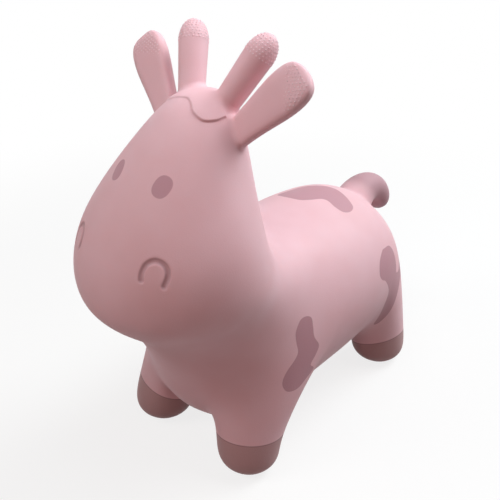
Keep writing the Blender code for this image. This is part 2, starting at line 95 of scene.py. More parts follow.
# The body's cage, as in the part.  A station has its front and back ends as shares along
# and up, its share of the width, and where it is widest
COLUMN_TURN_SHARES = (0.0, 0.117, 0.322, 0.544, 0.767, 1.0)
FORM_SEGMENTS = 2 * (len(COLUMN_TURN_SHARES) - 1)
STATION_SHARES = (
    ((-0.59, 1.945), (-0.34, 1.926), 0.290, 0.50),
    ((-0.72, 1.762), (-0.335, 1.736), 0.500, 0.50),
    ((-0.835, 1.540), (-0.36, 1.501), 0.748, 0.50),
    ((-0.955, 1.281), (-0.355, 1.265), 0.965, 0.50),
    ((-1.013, 1.005), (-0.29, 1.099), 1.000, 0.52),
    ((-0.942, 0.876), (-0.21, 1.041), 0.925, 0.54),
    ((-0.770, 0.735), (-0.12, 1.029), 0.860, 0.52),
    ((-0.68, 0.460), (-0.02, 1.027), 0.90, 0.50),
    ((-0.61, 0.230), (0.10, 1.040), 0.94, 0.50),
    ((-0.42, 0.178), (0.26, 1.040), 1.00, 0.50),
    ((0.01, 0.166), (0.49, 1.019), 1.00, 0.50),
    ((0.36, 0.186), (0.635, 0.988), 0.94, 0.50),
    ((0.65, 0.222), (0.76, 0.915), 0.81, 0.50),
    ((0.84, 0.326), (0.85, 0.821), 0.63, 0.50),
    ((0.95, 0.469), (0.95, 0.717), 0.39, 0.50),
)
CROWN_POLE_SHARES = (-0.455, 2.0)
RUMP_POLE_SHARES = (1.005, 0.589)

# Legs and hooves, as in the part
FOOT_SPREAD_SHARE = 0.635
FOOT_ALONG_SHARES = {"front": -0.5161, "hind": 0.6912}
HOOF_HEIGHT_SHARE = 0.143
LEG_RING_SHARE = 0.1786
HOOF_RADIUS = 0.0428
LEG_RADIUS = 0.0400
LEG_LEAN = 0.002
SOLE_CUT = 0.0005
SOLE_ROUND_SHARE = 0.36
SOLE_SHARE = 0.52
FIRST_LEG_STATION = {"front": 7, "hind": 11}
FEET = [(which, side) for which in FIRST_LEG_STATION for side in SIDES]
LEG_COLUMNS = (1, 2, 3)
LEG_PLACES = (-1.0, 0.0, 1.0)

# Horns, as in the part
HORN_BASE_SHARES = (0.205, -0.439, 1.912)
HORN_REACH = (0.0320, 0.0405, 0.0715)
HORN_RADIUS = 0.0150
HORN_TIP_RADIUS = 0.0172
HORN_SINK = 0.022
HORN_DOME_REACH = 0.026
HORN_DOME_STEPS = 16
HORN_SEGMENTS = 48

# Ears, as in the part.  A station has its shares of the length, width and thickness
EAR_BASE_SHARES = (0.408, -0.4800, 1.788)
EAR_REACH = (0.0690, 0.0323, 0.0735)
EAR_WIDTH = 0.0505
EAR_THICKNESS = 0.0260
EAR_FACE_RISE_SHARE = 0.34
EAR_STATION_SHARES = (
    (0.975, 0.66, 0.62),
    (0.88, 0.95, 0.95),
    (0.66, 1.00, 1.00),
    (0.38, 0.80, 0.88),
    (0.10, 0.64, 0.82),
    (-0.14, 0.66, 0.86),
)
EAR_TIP_SHARE = 0.04
EAR_FACE_SHARE = 0.36
EAR_FACE_POWER_SHARE = 0.45

# The ear's flat face: how square its edge is, how deep its dish is and between which
# shares of the half width the dish rises to the edge
EAR_BANDS = 60
EAR_EDGE_POWER = 3.6
EAR_DISH = 0.0003
EAR_DISH_RISE = (0.30, 0.92)
# The dish fades out where the face is less than this far in front of the middle
EAR_DISH_DEPTH = 0.0012

# Tail, as in the part.  A station has its shares of the curl and of the radius
TAIL_RADIUS = 0.0225
TAIL_CURL_RADIUS = 0.043
TAIL_CURL_CENTRE_SHARES = (0.93, 0.745)
TAIL_START_ANGLE = math.radians(150.0)
TAIL_END_ANGLE = math.radians(5.0)
TAIL_STATION_SHARES = (
    (1.07, 0.66),
    (0.95, 0.96),
    (0.72, 1.00),
    (0.48, 1.02),
    (0.24, 1.18),
    (0.02, 1.40),
)
TAIL_TIP_SHARE = 1.14
TAIL_SUNK_SHARE = -0.10
LIMB_SEGMENTS = 10

# Subdivision of the forms that the skin is drawn to, and how many digits after the point,
# in metres, count for the order of their corners
FORM_LEVELS = 4
ORDER_DIGITS = 6

# The skin leaves the forms between these distances from the second nearest one, and is
# finer where it is this much nearer to a limb than to the body
FILLET_GAPS = (0.003, 0.010)
LIMB_GAP = 0.004

# How far the finer skin goes round the nostrils and the forelock, and how many times it
# is split there
RELIEF_REACH = 0.007
RELIEF_SPLITS = 2

# Smooth lines: steps from point to point, and the weights of the four nearest points for
# each power of the share of a step
LINE_STEPS = 6
LINE_WEIGHTS = 0.5 * np.array(((0, 2, 0, 0), (-1, 0, 1, 0), (2, -5, 4, -1), (-1, 3, -3, 1)))

# Painted patches: middle, the way they face, the way up, and the outline in millimetres.
# The photograph shows the back and the left side, and the right side repeats the left
PATCHES = (
    (
        (0.003, 0.100, 0.282),
        (0.0, 0.05, 1.0),
        (0.0, 1.0, 0.0),
        (
            (-52, -25), (-48, -6), (-43, 16), (-33, 29), (-19, 37), (2, 40), (20, 35),
            (38, 27), (48, 20), (52, 7), (48, -5), (36, -8), (22, -5), (13, -9), (6, -23),
            (-4, -35), (-21, -37), (-37, -34),
        ),
    ),
    (
        (0.118, -0.078, 0.165),
        (1.0, 0.0, 0.0),
        (0.0, 0.0, 1.0),
        (
            (17, 43), (7, 45), (0, 42), (-7, 31), (-7, 17), (-6, 3), (-13, -6), (-24, -15),
            (-32, -26), (-33, -36), (-27, -45), (-10, -48), (6, -42), (22, -35), (14, -25),
            (24, -15), (31, -4), (24, 11), (24, 25), (24, 37),
        ),
    ),
    (
        (0.112, 0.130, 0.180),
        (1.0, 0.2, 0.0),
        (0.0, 0.0, 1.0),
        (
            (15, 38), (-2, 42), (-11, 42), (-27, 33), (-35, 18), (-30, 8), (-19, 0),
            (-5, -24), (-7, -50), (-4, -84), (1, -90), (7, -79), (17, -62), (29, -42),
            (42, -29), (60, -24), (66, -10), (50, -2), (35, -10), (23, -6), (26, 6),
            (25, 24),
        ),
    ),
)
# A patch this near to the middle plane has no mirror image
PATCH_MIDDLE = BODY_WIDTH / 4.0
PATCH_REACH = 0.12
PATCH_LEAST_FACING = 0.1

# Eyes: the left one's middle, the way it faces, and half its width and height
EYE_PLACE = (0.0327, -0.2153, 0.4116)
EYE_FACING = (0.296, -0.73, 0.617)
EYE_HALF_WIDTH = 0.0101
EYE_HALF_HEIGHT = 0.0127
EYE_TILT = math.radians(-24.0)
EYE_POWER = 2.3

# Nostrils: the left one's middle, the way it faces and its line in millimetres
NOSTRIL_PLACE = (0.0610, -0.2530, 0.3385)
NOSTRIL_FACING = (0.44, -0.78, 0.44)
NOSTRIL_LINE = ((-17, -10), (-17, -3), (-13, 6), (-5, 11), (3, 10), (9, 5), (11, -3), (8, -14))

# How much further out than the left ones the right eye and nostril stand
EYE_RIGHT_SHIFT = 0.005
NOSTRIL_RIGHT_SHIFT = 0.010

# The nostril's groove and the lip round it, as shares of the groove's half width
NOSTRIL_WALL_SHARES = (0.15, 1.05)
NOSTRIL_LIP_SHARES = (0.9, 1.4, 2.6)

# The front edge of the forelock, from the right ear to the left horn, in millimetres
FORELOCK_PLACE = (0.010, -0.150, 0.474)
FORELOCK_FACING = (0.1, -0.4, 0.9)
FORELOCK_LINE = (
    (-62, 30, -31), (-34, 12, -4), (-24, 11, 0), (-14, 10, 4), (-7, 9, 4), (-1, 5, 5),
    (4, -1, 4), (8, -7, 2), (15, -11, 0), (21, -12, -3), (26, -10, -5), (31, -5, -8),
    (34, 0, -10), (36, 6, -12), (39, 10, -14),
)
FORELOCK_REACH = 0.09
# Half the width of the forelock's step, and where it slopes back into the crown
FORELOCK_STEP = 0.0012
FORELOCK_SLOPE = (0.004, 0.030)
# How far in from its right and left ends the step has its height.  It is lower on the
# right, and rises between two shares of its length
FORELOCK_ENDS = (0.010, 0.004)
FORELOCK_LOW_SHARE = 0.45
FORELOCK_RISE = (0.45, 0.70)

# The tail's painted shade starts behind this, and comes on between these distances from the body
TAIL_SHADE_ALONG = 0.15
TAIL_SHADE_GAPS = (0.002, 0.030)

# Where the hooves' paint ends: height at the foot's middle, and its rise for each step
# outwards and forwards
HOOF_LINES = {
    ("front", "left"): (0.0537, 0.069, 0.115),
    ("front", "right"): (0.050, 0.25, 0.45),
    ("hind", "left"): (0.041, 0.40, 0.0),
    ("hind", "right"): (0.041, 0.40, 0.0),
}
HOOF_PAINT_REACH = 0.062

# Paints in the order that they are sprayed, and last the tail's painted shade: the distance
# kept on the skin, the values of it at which the paint is full and gone, and the name of the
# colour
PAINTS = (
    ("patch_edge", (-0.3 * MM, 0.3 * MM), "patch"),
    ("eye_edge", (-0.3 * MM, 0.3 * MM), "eye"),
    ("nostril_line", (2.3 * MM, 4.0 * MM), "nostril"),
    ("hoof_edge", (0.0, 0.8 * MM), "hoof_rim"),
    ("hoof_edge", (-1.4 * MM, -0.6 * MM), "hoof"),
    ("tail_shade_share", (1.0, 0.0), "tail"),
)

# Round each cut: how far from its middle the plane reaches, and how long the bend is
HORN_CUT = (0.030, 0.024)
EAR_CUT = (0.032, 0.028)
TAIL_CUT = (0.045, 0.040)
FOOT_CUT = (0.075, 0.040)
# Where the tail's cut lies along its curl, and the height of the cuts over the feet
TAIL_CUT_SHARE = 0.40
FOOT_CUT_HEIGHT = 0.056
# How much the planes over the feet lean outwards, and forwards or backwards
FOOT_CUT_LEAN = (0.35, 0.25)
# A corner this near to a cut's plane counts as on it
CUT_TOLERANCE = 1e-6

# Grip dots, in rows that are turned or shifted by half a step, row by row
DOT_PITCH = 0.0041
DOT_ROW = DOT_PITCH * math.sqrt(0.75)
DOT_RADIUS = 0.00095
DOT_HEIGHT = 0.00045
DOT_FACETS = {"Segments": 7, "Rings": 4}
LEAST_DOTS_IN_RING = 6
# Where along a limb its dots start and end.  On an ear they start lower on one side
HORN_DOTS_SHARE = 0.70
EAR_DOTS_SHARE = 0.70
EAR_DOTS_SLANT_SHARE = 0.16
EAR_DOTS_END_SHARE = 0.99
# An ear's dot this far into the field has its full size, and is left out where it would
# be too small or on the ear's edge
DOTS_FADE = 0.010
LEAST_DOT_SIZE = 0.2
LEAST_DOT_FACING = 0.88

# Soft PVC, from typical values, made as matt as the skin looks
PVC_IOR = 1.53
PVC_ROUGHNESS = 0.56
PVC_SPECULAR = 0.25
PVC_SUBSURFACE = 0.12
PVC_SUBSURFACE_RADIUS = (1.0, 0.45, 0.40)
PVC_SUBSURFACE_REACH = 4.0 * MM
# The mould's grain is about 0.3 mm wide, too fine to show here, so it is drawn wider
GRAIN_WIDTH = 1.2 * MM
# The roughness varies by so much over this distance, as the wall's thickness drifts
ROUGHNESS_DRIFT = (-0.04, 0.05)
ROUGHNESS_DRIFT_REACH = 35.0 * MM
# Finishes: how far apart the clouds of colour lie, and how high the grain stands
SKIN_FINISH = (70.0 * MM, 0.06 * MM)
DOT_FINISH = (9.0 * MM, 0.03 * MM)
VALVE_FINISH = (6.0 * MM, 0.02 * MM)
# The noise that makes the clouds stays between about these values
NOISE_RANGE = (0.3, 0.7)

# The camera, fitted to the photograph, and the photograph's size in pixels
CAMERA_PLACE = (0.55, -0.67185, 0.72336)
CAMERA_AZIMUTH = math.radians(41.1)
CAMERA_ELEVATION = math.radians(29.4)
CAMERA_FOCAL_PIXELS = 735.0
CAMERA_SENSOR = 36.0
IMAGE_PIXELS = 500.0

# Soft lamps: name, place, width, how much of its colour a surface that faces the lamp
# shows by it alone in the toy's middle, and the light's tint
LAMPS = (
    ("key_behind", (0.584, 1.80, 1.78), 1.30, 0.57, (0.92, 0.99, 1.0)),
    ("over_rump", (0.51, 0.61, 1.57), 0.80, 0.34, (0.92, 0.98, 1.0)),
    ("soft_right", (1.34, 0.94, 1.45), 1.00, 0.16, (0.97, 0.98, 1.0)),
    ("soft_top", (-0.02, -0.14, 1.00), 0.36, 0.24, (0.90, 0.96, 1.0)),
    ("soft_left_front", (-0.82, -1.42, 1.447), 1.00, 0.27, (1.0, 0.97, 0.94)),
    ("warm_front_fill", (0.94, -1.63, 0.98), 1.00, 0.13, (1.0, 0.62, 0.55)),
)
LAMP_AIM = Vector((0.0, 0.0, 0.30))
FILL_TINT = (1.0, 0.70, 0.62, 1.0)

# The floor: half its width, how it looks from the camera near the toy, where that goes
# over to white, and the colour that it throws back on the toy
FLOOR_HALF = 6.0
FLOOR_CORNERS = ((-1, -1), (1, -1), (1, 1), (-1, 1))
FLOOR_GREY = (0.20, 0.20, 0.20, 1.0)
FLOOR_GLOW = 0.80
FLOOR_NEAR, FLOOR_WHITE_FROM = 0.45, 1.20
FLOOR_BOUNCE = (0.30, 0.26, 0.25, 1.0)
WHITE = (1.0, 1.0, 1.0, 1.0)


# Helpers


def linear(hex_colour):
    """An sRGB hex colour as linear red, green, blue and full alpha."""
    found = []
    for place in (1, 3, 5):
        value = int(hex_colour[place : place + 2], 16) / 255.0
        found.append(value / 12.92 if value <= 0.04045 else ((value + 0.055) / 1.055) ** 2.4)
    return (*found, 1.0)


def add_node(tree, kind, inputs=None, **settings):
    """Adds a node.  An input is a value to set or a socket to link."""
    node = tree.nodes.new(kind)
    for name, value in settings.items():
        setattr(node, name, value)
    for key, value in (inputs or {}).items():
        if isinstance(value, bpy.types.NodeSocket):
            tree.links.new(value, node.inputs[key])
        else:
            node.inputs[key].default_value = value
    return node


def smoothstep(low, high, value):
    """0 up to the low value, 1 from the high one, and a smooth rise between them."""
    share = np.clip((value - low) / (high - low), 0.0, 1.0)
    return share * share * (3.0 - 2.0 * share)


def link(obj):
    """Puts a new object into the scene."""
    bpy.context.scene.collection.objects.link(obj)
    return obj


def evaluated(obj):
    """The object's mesh with its modifiers' work in it, as a plain mesh."""
    graph = bpy.context.evaluated_depsgraph_get()
    return bpy.data.meshes.new_from_object(obj.evaluated_get(graph))


def positions(mesh):
    """The places of a mesh's corners as an array."""
    flat = np.zeros(len(mesh.vertices) * 3, np.float32)
    mesh.vertices.foreach_get("co", flat)
    return flat.reshape(-1, 3).astype(float)


def corner_arrays(bm):
    """The places and the normals of a bmesh's corners as arrays."""
    places = np.array([vert.co for vert in bm.verts])
    return places, np.array([vert.normal for vert in bm.verts])


def face_edges(face):
    """Each corner of a face with the next one."""
    return zip(face, face[1:] + face[:1])


# The part's forms


def raised(up):
    """A height: 0 is the floor, 1 the seat and 2 the crown."""
    return SEAT_HEIGHT * min(up, 1.0) + (CROWN_HEIGHT - SEAT_HEIGHT) * max(up - 1.0, 0.0)


def midline(shares):
    """A place in the middle plane from its shares along and up."""
    along, up = shares
    reach = MUZZLE_REACH if along < 0.0 else RUMP_REACH
    return Vector((0.0, WAIST_ALONG + along * reach, raised(up)))


def beside(shares, side):
    """A place beside the middle plane from its shares sideways, along and up."""
    sideways, along, up = shares
    place = midline((along, up))
    place.x = SIDES[side] * sideways * BODY_WIDTH / 2.0
    return place


def ring_swell(count):
    """How much wider than its smooth surface a cage's ring of so many corners is."""
    return 6.0 / (4.0 + 2.0 * math.cos(math.tau / count))


def ring_cage(count, segments):
    """A closed cage of rings, its corners by ring and column, and its two poles."""
    bm = bmesh.new()
    rows = count + 1
    bmesh.ops.create_uvsphere(bm, u_segments=segments, v_segments=rows, radius=1.0)
    grid, poles = {}, {}
    for vert in bm.verts:
        row = round(math.acos(max(-1.0, min(1.0, vert.co.z))) / math.pi * rows)
        column = round(math.atan2(vert.co.x, vert.co.y) / math.tau * segments) % segments
        if 0 < row < rows:
            grid[row - 1, column] = vert
        else:
            poles["first" if row == 0 else "last"] = vert
    return bm, grid, poles


def finished_mesh(name, bm):
    """The bmesh as a mesh whose faces point outwards."""
    bm.normal_update()
    bmesh.ops.recalc_face_normals(bm, faces=bm.faces)
    mesh = bpy.data.meshes.new(name)
    bm.to_mesh(mesh)
    bm.free()
    return mesh


def in_order(mesh):
    """The mesh with its corners from low to high, in the same order on every run."""
    points = positions(mesh)
    order = np.lexsort(points.round(ORDER_DIGITS).T)
    places = np.argsort(order)
    faces = []
    for polygon in mesh.polygons:
        face = [int(places[index]) for index in polygon.vertices]
        first = face.index(min(face))
        faces.append(face[first:] + face[:first])
    made = bpy.data.meshes.new(mesh.name)
    made.from_pydata([tuple(point) for point in points[order]], [], sorted(faces))
    return made


def swollen(mesh):
    """The cage's smooth surface as a plain mesh.

    Subdivision works on many threads and leaves the corners in any order.
    """
    obj = link(bpy.data.objects.new(mesh.name, mesh))
    modifier = obj.modifiers.new("Swell", "SUBSURF")
    modifier.levels = modifier.render_levels = FORM_LEVELS
    made = in_order(evaluated(obj))
    bpy.data.objects.remove(obj)
    return made


def station_point(station, angle):
    """The cage's corner on a station of the body, at an angle from its front end."""
    front, back, width_share, widest = station
    front, back = midline(front), midline(back)
    centre = back.lerp(front, widest)
    end = front if math.cos(angle) >= 0.0 else back
    swell = ring_swell(FORM_SEGMENTS)
    point = centre + (end - centre) * abs(math.cos(angle)) * swell
    point.x = width_share * BODY_WIDTH / 2.0 * math.sin(angle) * swell
    return point


def column_angle(column):
    """The angle at which a column of the body's cage runs."""
    if column < len(COLUMN_TURN_SHARES):
        return math.pi * COLUMN_TURN_SHARES[column]
    return -math.pi * COLUMN_TURN_SHARES[FORM_SEGMENTS - column]


def foot_place(which, side):
    """The middle of a foot on the floor."""
    return beside((FOOT_SPREAD_SHARE, FOOT_ALONG_SHARES[which], 0.0), side)


def pull_leg(bm, grid, which, side):
    """Draws a leg out of the body's cage, down to its sole."""
    first = FIRST_LEG_STATION[which]
    sign = SIDES[side]
    columns = [round(sign * step) % FORM_SEGMENTS for step in LEG_COLUMNS]
    block = {}
    for row, behind in enumerate(LEG_PLACES):
        for column, outward in zip(columns, LEG_PLACES):
            plan = Vector((sign * outward, behind, 0.0))
            block[grid[first + row, column]] = plan.normalized() if plan.length else plan
    faces = [face for face in bm.faces if all(vert in block for vert in face.verts)]
    ring = list(block)
    swell = ring_swell(len(block) - 1)
    rings = (
        (raised(LEG_RING_SHARE), LEG_RADIUS, LEG_LEAN),
        (raised(HOOF_HEIGHT_SHARE) * SOLE_ROUND_SHARE, HOOF_RADIUS, 0.0),
        (-SOLE_CUT, HOOF_RADIUS * SOLE_SHARE, 0.0),
    )
    for height, radius, lean in rings:
        made = bmesh.ops.extrude_face_region(bm, geom=faces)["geom"]
        bmesh.ops.delete(bm, geom=faces, context="FACES_ONLY")
        faces = [item for item in made if isinstance(item, bmesh.types.BMFace)]
        lower = [item for item in made if isinstance(item, bmesh.types.BMVert)]
        plans = [block[min(ring, key=lambda old: (old.co - new.co).length)] for new in lower]
        centre = foot_place(which, side) + Vector((-sign * lean, 0.0, height))
        for vert, plan in zip(lower, plans):
            vert.co = centre + plan * radius * swell
            block[vert] = plan
        ring = lower


def body_form():
    """Head, neck, trunk and legs as one smooth surface."""
    bm, grid, poles = ring_cage(len(STATION_SHARES), FORM_SEGMENTS)
    for (row, column), vert in grid.items():
        vert.co = station_point(STATION_SHARES[row], column_angle(column))
    poles["first"].co = midline(CROWN_POLE_SHARES)
    poles["last"].co = midline(RUMP_POLE_SHARES)
    for which, side in FEET:
        pull_leg(bm, grid, which, side)
    loose = [vert for vert in bm.verts if not vert.link_faces]
    bmesh.ops.delete(bm, geom=loose, context="VERTS")
    return swollen(finished_mesh("body_form", bm))


class Limb:
    """A straight limb.  Heights along it are counted from its base, in its frame."""

    def __init__(self, base_shares, reach, facing, side):
        sideways, back, up = reach
        way = Vector((SIDES[side] * sideways, back, up))
        self.length = way.length
        z = way.normalized()
        y = (z * facing.dot(z) - facing).normalized()
        self.frame = Matrix((y.cross(z), y, z)).transposed().to_4x4()
        self.frame.translation = beside(base_shares, side)
        self.turn = self.frame.to_3x3()

    def at(self, height):
        """The place on the limb's middle line at a height."""
        return self.frame @ Vector((0.0, 0.0, height))


def horn_limb(side):
    """The horn's middle line."""
    return Limb(HORN_BASE_SHARES, HORN_REACH, Vector((0.0, -1.0, 0.0)), side)


def ear_limb(side):
    """The ear's middle line."""
    facing = Vector((0.0, -1.0, EAR_FACE_RISE_SHARE))
    return Limb(EAR_BASE_SHARES, EAR_REACH, facing, side)


def horn_radius(limb, height):
    """The horn's radius at a height: a slowly widening rod with a long dome."""
    dome = limb.length - HORN_DOME_REACH
    share = max(0.0, min(1.0, height / dome))
    radius = HORN_RADIUS + (HORN_TIP_RADIUS - HORN_RADIUS) * share
    past = max(0.0, height - dome) / HORN_DOME_REACH
    return radius * math.sqrt(max(0.0, 1.0 - past * past))


def horn_form(side):
    """A horn as a closed surface."""
    limb = horn_limb(side)
    dome = limb.length - HORN_DOME_REACH
    heights = [-HORN_SINK, 0.0, dome / 2.0, dome]
    for step in range(1, HORN_DOME_STEPS):
        rise = math.sin(math.pi / 2.0 * step / HORN_DOME_STEPS)
        heights.append(dome + HORN_DOME_REACH * rise)
    heights.reverse()
    bm, grid, poles = ring_cage(len(heights), HORN_SEGMENTS)
    for (row, column), vert in grid.items():
        radius = horn_radius(limb, heights[row])
        angle = column * math.tau / HORN_SEGMENTS
        vert.co = (radius * math.cos(angle), radius * math.sin(angle), heights[row])
    poles["first"].co = (0.0, 0.0, limb.length)
    poles["last"].co = (0.0, 0.0, -HORN_SINK)
    mesh = finished_mesh(f"horn_form_{side}", bm)
    mesh.transform(limb.frame)
    return mesh


def ear_form(side):
    """An ear as a smooth surface with a flat face."""
    limb = ear_limb(side)
    bm, grid, poles = ring_cage(len(EAR_STATION_SHARES), LIMB_SEGMENTS)
    swell = ring_swell(LIMB_SEGMENTS)
    for (row, column), vert in grid.items():
        along, width_share, thickness_share = EAR_STATION_SHARES[row]
        angle = column * math.tau / LIMB_SEGMENTS
        across = math.cos(angle) * width_share * EAR_WIDTH / 2.0
        depth = math.sin(angle) * (1.0 - EAR_FACE_SHARE)
        if math.sin(angle) < 0.0:
            depth = -EAR_FACE_SHARE * abs(math.sin(angle)) ** EAR_FACE_POWER_SHARE
        depth *= thickness_share * EAR_THICKNESS
        vert.co = (across * swell, depth * swell, along * limb.length)
    poles["first"].co = (0.0, 0.0, limb.length + EAR_THICKNESS * EAR_TIP_SHARE)
    poles["last"].co = (0.0, 0.0, -EAR_THICKNESS)
    mesh = swollen(finished_mesh(f"ear_form_{side}", bm))
    flatten_face(mesh)
    mesh.transform(limb.frame)
    return mesh


def flatten_face(mesh):
    """Turns the ear's round front into a dished face with an edge round it."""
    points = positions(mesh)
    bands = np.array_split(points, EAR_BANDS)
    heights = [band[:, 2].mean() for band in bands]
    half_widths = [np.abs(band[:, 0]).max() for band in bands]
    depths = [-band[:, 1].min() for band in bands]
    half_width = np.interp(points[:, 2], heights, half_widths)
    depth = np.interp(points[:, 2], heights, depths)
    share = np.clip(np.abs(points[:, 0]) / half_width, 0.0, 1.0)
    face = -depth * (1.0 - share**EAR_EDGE_POWER) ** (1.0 / EAR_EDGE_POWER)
    dish = EAR_DISH * (1.0 - smoothstep(*EAR_DISH_RISE, share))
    face += dish * smoothstep(0.0, EAR_DISH_DEPTH, depth)
    front = (points[:, 1] < 0.0) & (points[:, 2] > 0.0)
    points[front, 1] = np.minimum(face[front], 0.0)
    mesh.vertices.foreach_set("co", points.astype(np.float32).ravel())


def tail_point(share):
    """The tail's middle line at a share of its curl, with its forward and outward ways."""
    angle = TAIL_START_ANGLE + (TAIL_END_ANGLE - TAIL_START_ANGLE) * share
    outward = Vector((0.0, math.cos(angle), math.sin(angle)))
    forward = Vector((0.0, math.sin(angle), -math.cos(angle)))
    return midline(TAIL_CURL_CENTRE_SHARES) + outward * TAIL_CURL_RADIUS, forward, outward


def tail_form():
    """The curled tail as a smooth surface."""
    bm, grid, poles = ring_cage(len(TAIL_STATION_SHARES), LIMB_SEGMENTS)
    for (row, column), vert in grid.items():
        share, radius_share = TAIL_STATION_SHARES[row]
        place, _, outward = tail_point(share)
        angle = column * math.tau / LIMB_SEGMENTS
        spoke = Vector((math.cos(angle), 0.0, 0.0)) + outward * math.sin(angle)
        vert.co = place + spoke * radius_share * TAIL_RADIUS * ring_swell(LIMB_SEGMENTS)
    poles["first"].co = tail_point(TAIL_TIP_SHARE)[0]
    poles["last"].co = tail_point(TAIL_SUNK_SHARE)[0]
    return swollen(finished_mesh("tail_form", bm))


# Lines and paint on the skin


def rounded(points, closed):
    """A smooth line through the points."""
    points = np.array(points, float)
    count = len(points)
    found = []
    for place in range(count if closed else count - 1):
        near = np.arange(place - 1, place + 3)
        near = near % count if closed else near.clip(0, count - 1)
        for step in range(LINE_STEPS):
            powers = (step / LINE_STEPS) ** np.arange(4)
            found.append(powers @ LINE_WEIGHTS @ points[near])
    if not closed:
        found.append(points[-1])
    return np.array(found)


def line_distance(places, line, closed=False):
    """Distance to a line, with the nearest segment and the nearest point on it."""
    starts = line if closed else line[:-1]
    ends = np.roll(line, -1, axis=0) if closed else line[1:]
    best = np.full(len(places), np.inf)
    nearest = np.zeros_like(places)
    segment = np.zeros(len(places), int)
    for place, (start, end) in enumerate(zip(starts, ends)):
        way = end - start
        share = np.clip(((places - start) @ way) / (way @ way), 0.0, 1.0)
        point = start + share[:, None] * way
        distance = np.linalg.norm(places - point, axis=1)
        closer = distance < best
        best[closer] = distance[closer]
        nearest[closer] = point[closer]
        segment[closer] = place
    return best, segment, nearest


def inside(places, outline):
    """Which of the flat places lie inside a closed outline."""
    found = np.zeros(len(places), bool)
    x, y = places[:, 0], places[:, 1]
    for (x0, y0), (x1, y1) in zip(outline, np.roll(outline, -1, axis=0)):
        if y0 != y1:
            crosses = (y0 > y) != (y1 > y)
            found ^= crosses & (x < (x1 - x0) * (y - y0) / (y1 - y0) + x0)
    return found


def decal_axes(facing, up):
    """The ways across, up and out of a decal's plane."""
    out = Vector(facing).normalized()
    across = Vector(up).cross(out).normalized()
    return np.array(across), np.array(out.cross(across)), np.array(out)


def decal_places(points, middle, facing, up):
    """Where on the decal's plane, and how far from it, each point lies."""
    across, upward, out = decal_axes(facing, up)
    away = points - np.array(middle)
    return np.stack([away @ across, away @ upward], 1), away @ out


def patch_distance(points, normals):
    """Signed distance to the nearest edge of a patch: negative inside."""
    found = np.full(len(points), FAR)
    for middle, facing, up, outline in PATCHES:
        line = rounded(np.array(outline) * MM, True)
        for side in SIDES.values():
            if side < 0.0 and abs(middle[0]) < PATCH_MIDDLE:
                continue
            turn = np.array((side, 1.0, 1.0))
            flat, off = decal_places(points * turn, middle, facing, up)
            near = np.abs(off) < FAR
            near &= normals * turn @ decal_axes(facing, up)[2] > PATCH_LEAST_FACING
            near &= np.linalg.norm(flat, axis=1) < PATCH_REACH
            distance, _, _ = line_distance(flat[near], line, True)
            distance[inside(flat[near], line)] *= -1.0
            found[near] = np.minimum(found[near], distance)
    return found


def head_decals(points, middle, facing, right_shift):
    """Where the points lie on the plane of the left eye or nostril, then of the right."""
    mirrored = points * np.array((-1.0, 1.0, 1.0)) - np.array((right_shift, 0.0, 0.0))
    for seen in (points, mirrored):
        yield decal_places(seen, middle, facing, UP)


def eye_distance(points):
    """Signed distance to the edge of the nearest eye, about: negative inside."""
    found = np.full(len(points), FAR)
    size = np.array((EYE_HALF_WIDTH, EYE_HALF_HEIGHT))
    turn = np.array(Matrix.Rotation(EYE_TILT, 2))
    for flat, off in head_decals(points, EYE_PLACE, EYE_FACING, EYE_RIGHT_SHIFT):
        reach = (np.abs(flat @ turn / size) ** EYE_POWER).sum(1) ** (1.0 / EYE_POWER)
        distance = (reach - 1.0) * EYE_HALF_WIDTH
        distance[np.abs(off) > FAR / 2.0] = FAR
        found = np.minimum(found, distance)
    return found


def nostril_distance(points):
    """Distance to the middle line of the nearest nostril."""
    found = np.full(len(points), FAR)
    line = rounded(np.array(NOSTRIL_LINE) * MM, False)
    for flat, off in head_decals(points, NOSTRIL_PLACE, NOSTRIL_FACING, NOSTRIL_RIGHT_SHIFT):
        near = (np.abs(off) < FAR / 2.0) & (np.linalg.norm(flat, axis=1) < FAR)
        distance, _, _ = line_distance(flat[near], line)
        found[near] = np.minimum(found[near], distance)
    return found


def forelock_line(surface):
    """The forelock's edge as points on the skin."""
    axes = np.array(decal_axes(FORELOCK_FACING, UP))
    found = []
    for point in rounded(FORELOCK_LINE, False):
        place = np.array(FORELOCK_PLACE) + point @ axes * MM
        found.append(surface.find_nearest(Vector(place))[0])
    return np.array(found)


def forelock_distance(points, normals, surface):
    """Signed distance to the forelock's edge, positive on the crown, and its strength."""
    line = forelock_line(surface)
    found = np.full(len(points), -FAR)
    strength = np.zeros(len(points))
    near = np.linalg.norm(points - line.mean(0), axis=1) < FORELOCK_REACH
    distance, segment, nearest = line_distance(points[near], line)
    ways = line[1:] - line[:-1]
    sideways = np.cross(normals[near], ways[segment])
    found[near] = distance * np.sign(((points[near] - nearest) * sideways).sum(1))
    length = np.concatenate([[0.0], np.cumsum(np.linalg.norm(ways, axis=1))])
    along = length[segment] + np.linalg.norm(nearest - line[segment], axis=1)
    right_end, left_end = FORELOCK_ENDS
    strength[near] = smoothstep(0.0, right_end, along)
    strength[near] *= smoothstep(0.0, left_end, length[-1] - along)
    rise = smoothstep(*FORELOCK_RISE, along / length[-1])
    strength[near] *= FORELOCK_LOW_SHARE + (1.0 - FORELOCK_LOW_SHARE) * rise
    return found, strength


def tail_shade_share(points, body_tree):
    """How much painted shade the tail takes: 0 on the rump, and 1 on the tail once it has left the
    rump.
    """
    found = np.zeros(len(points))
    for index in np.nonzero(points[:, 1] > TAIL_SHADE_ALONG)[0]:
        found[index] = body_tree.find_nearest(Vector(points[index]))[3]
    return smoothstep(*TAIL_SHADE_GAPS, found)


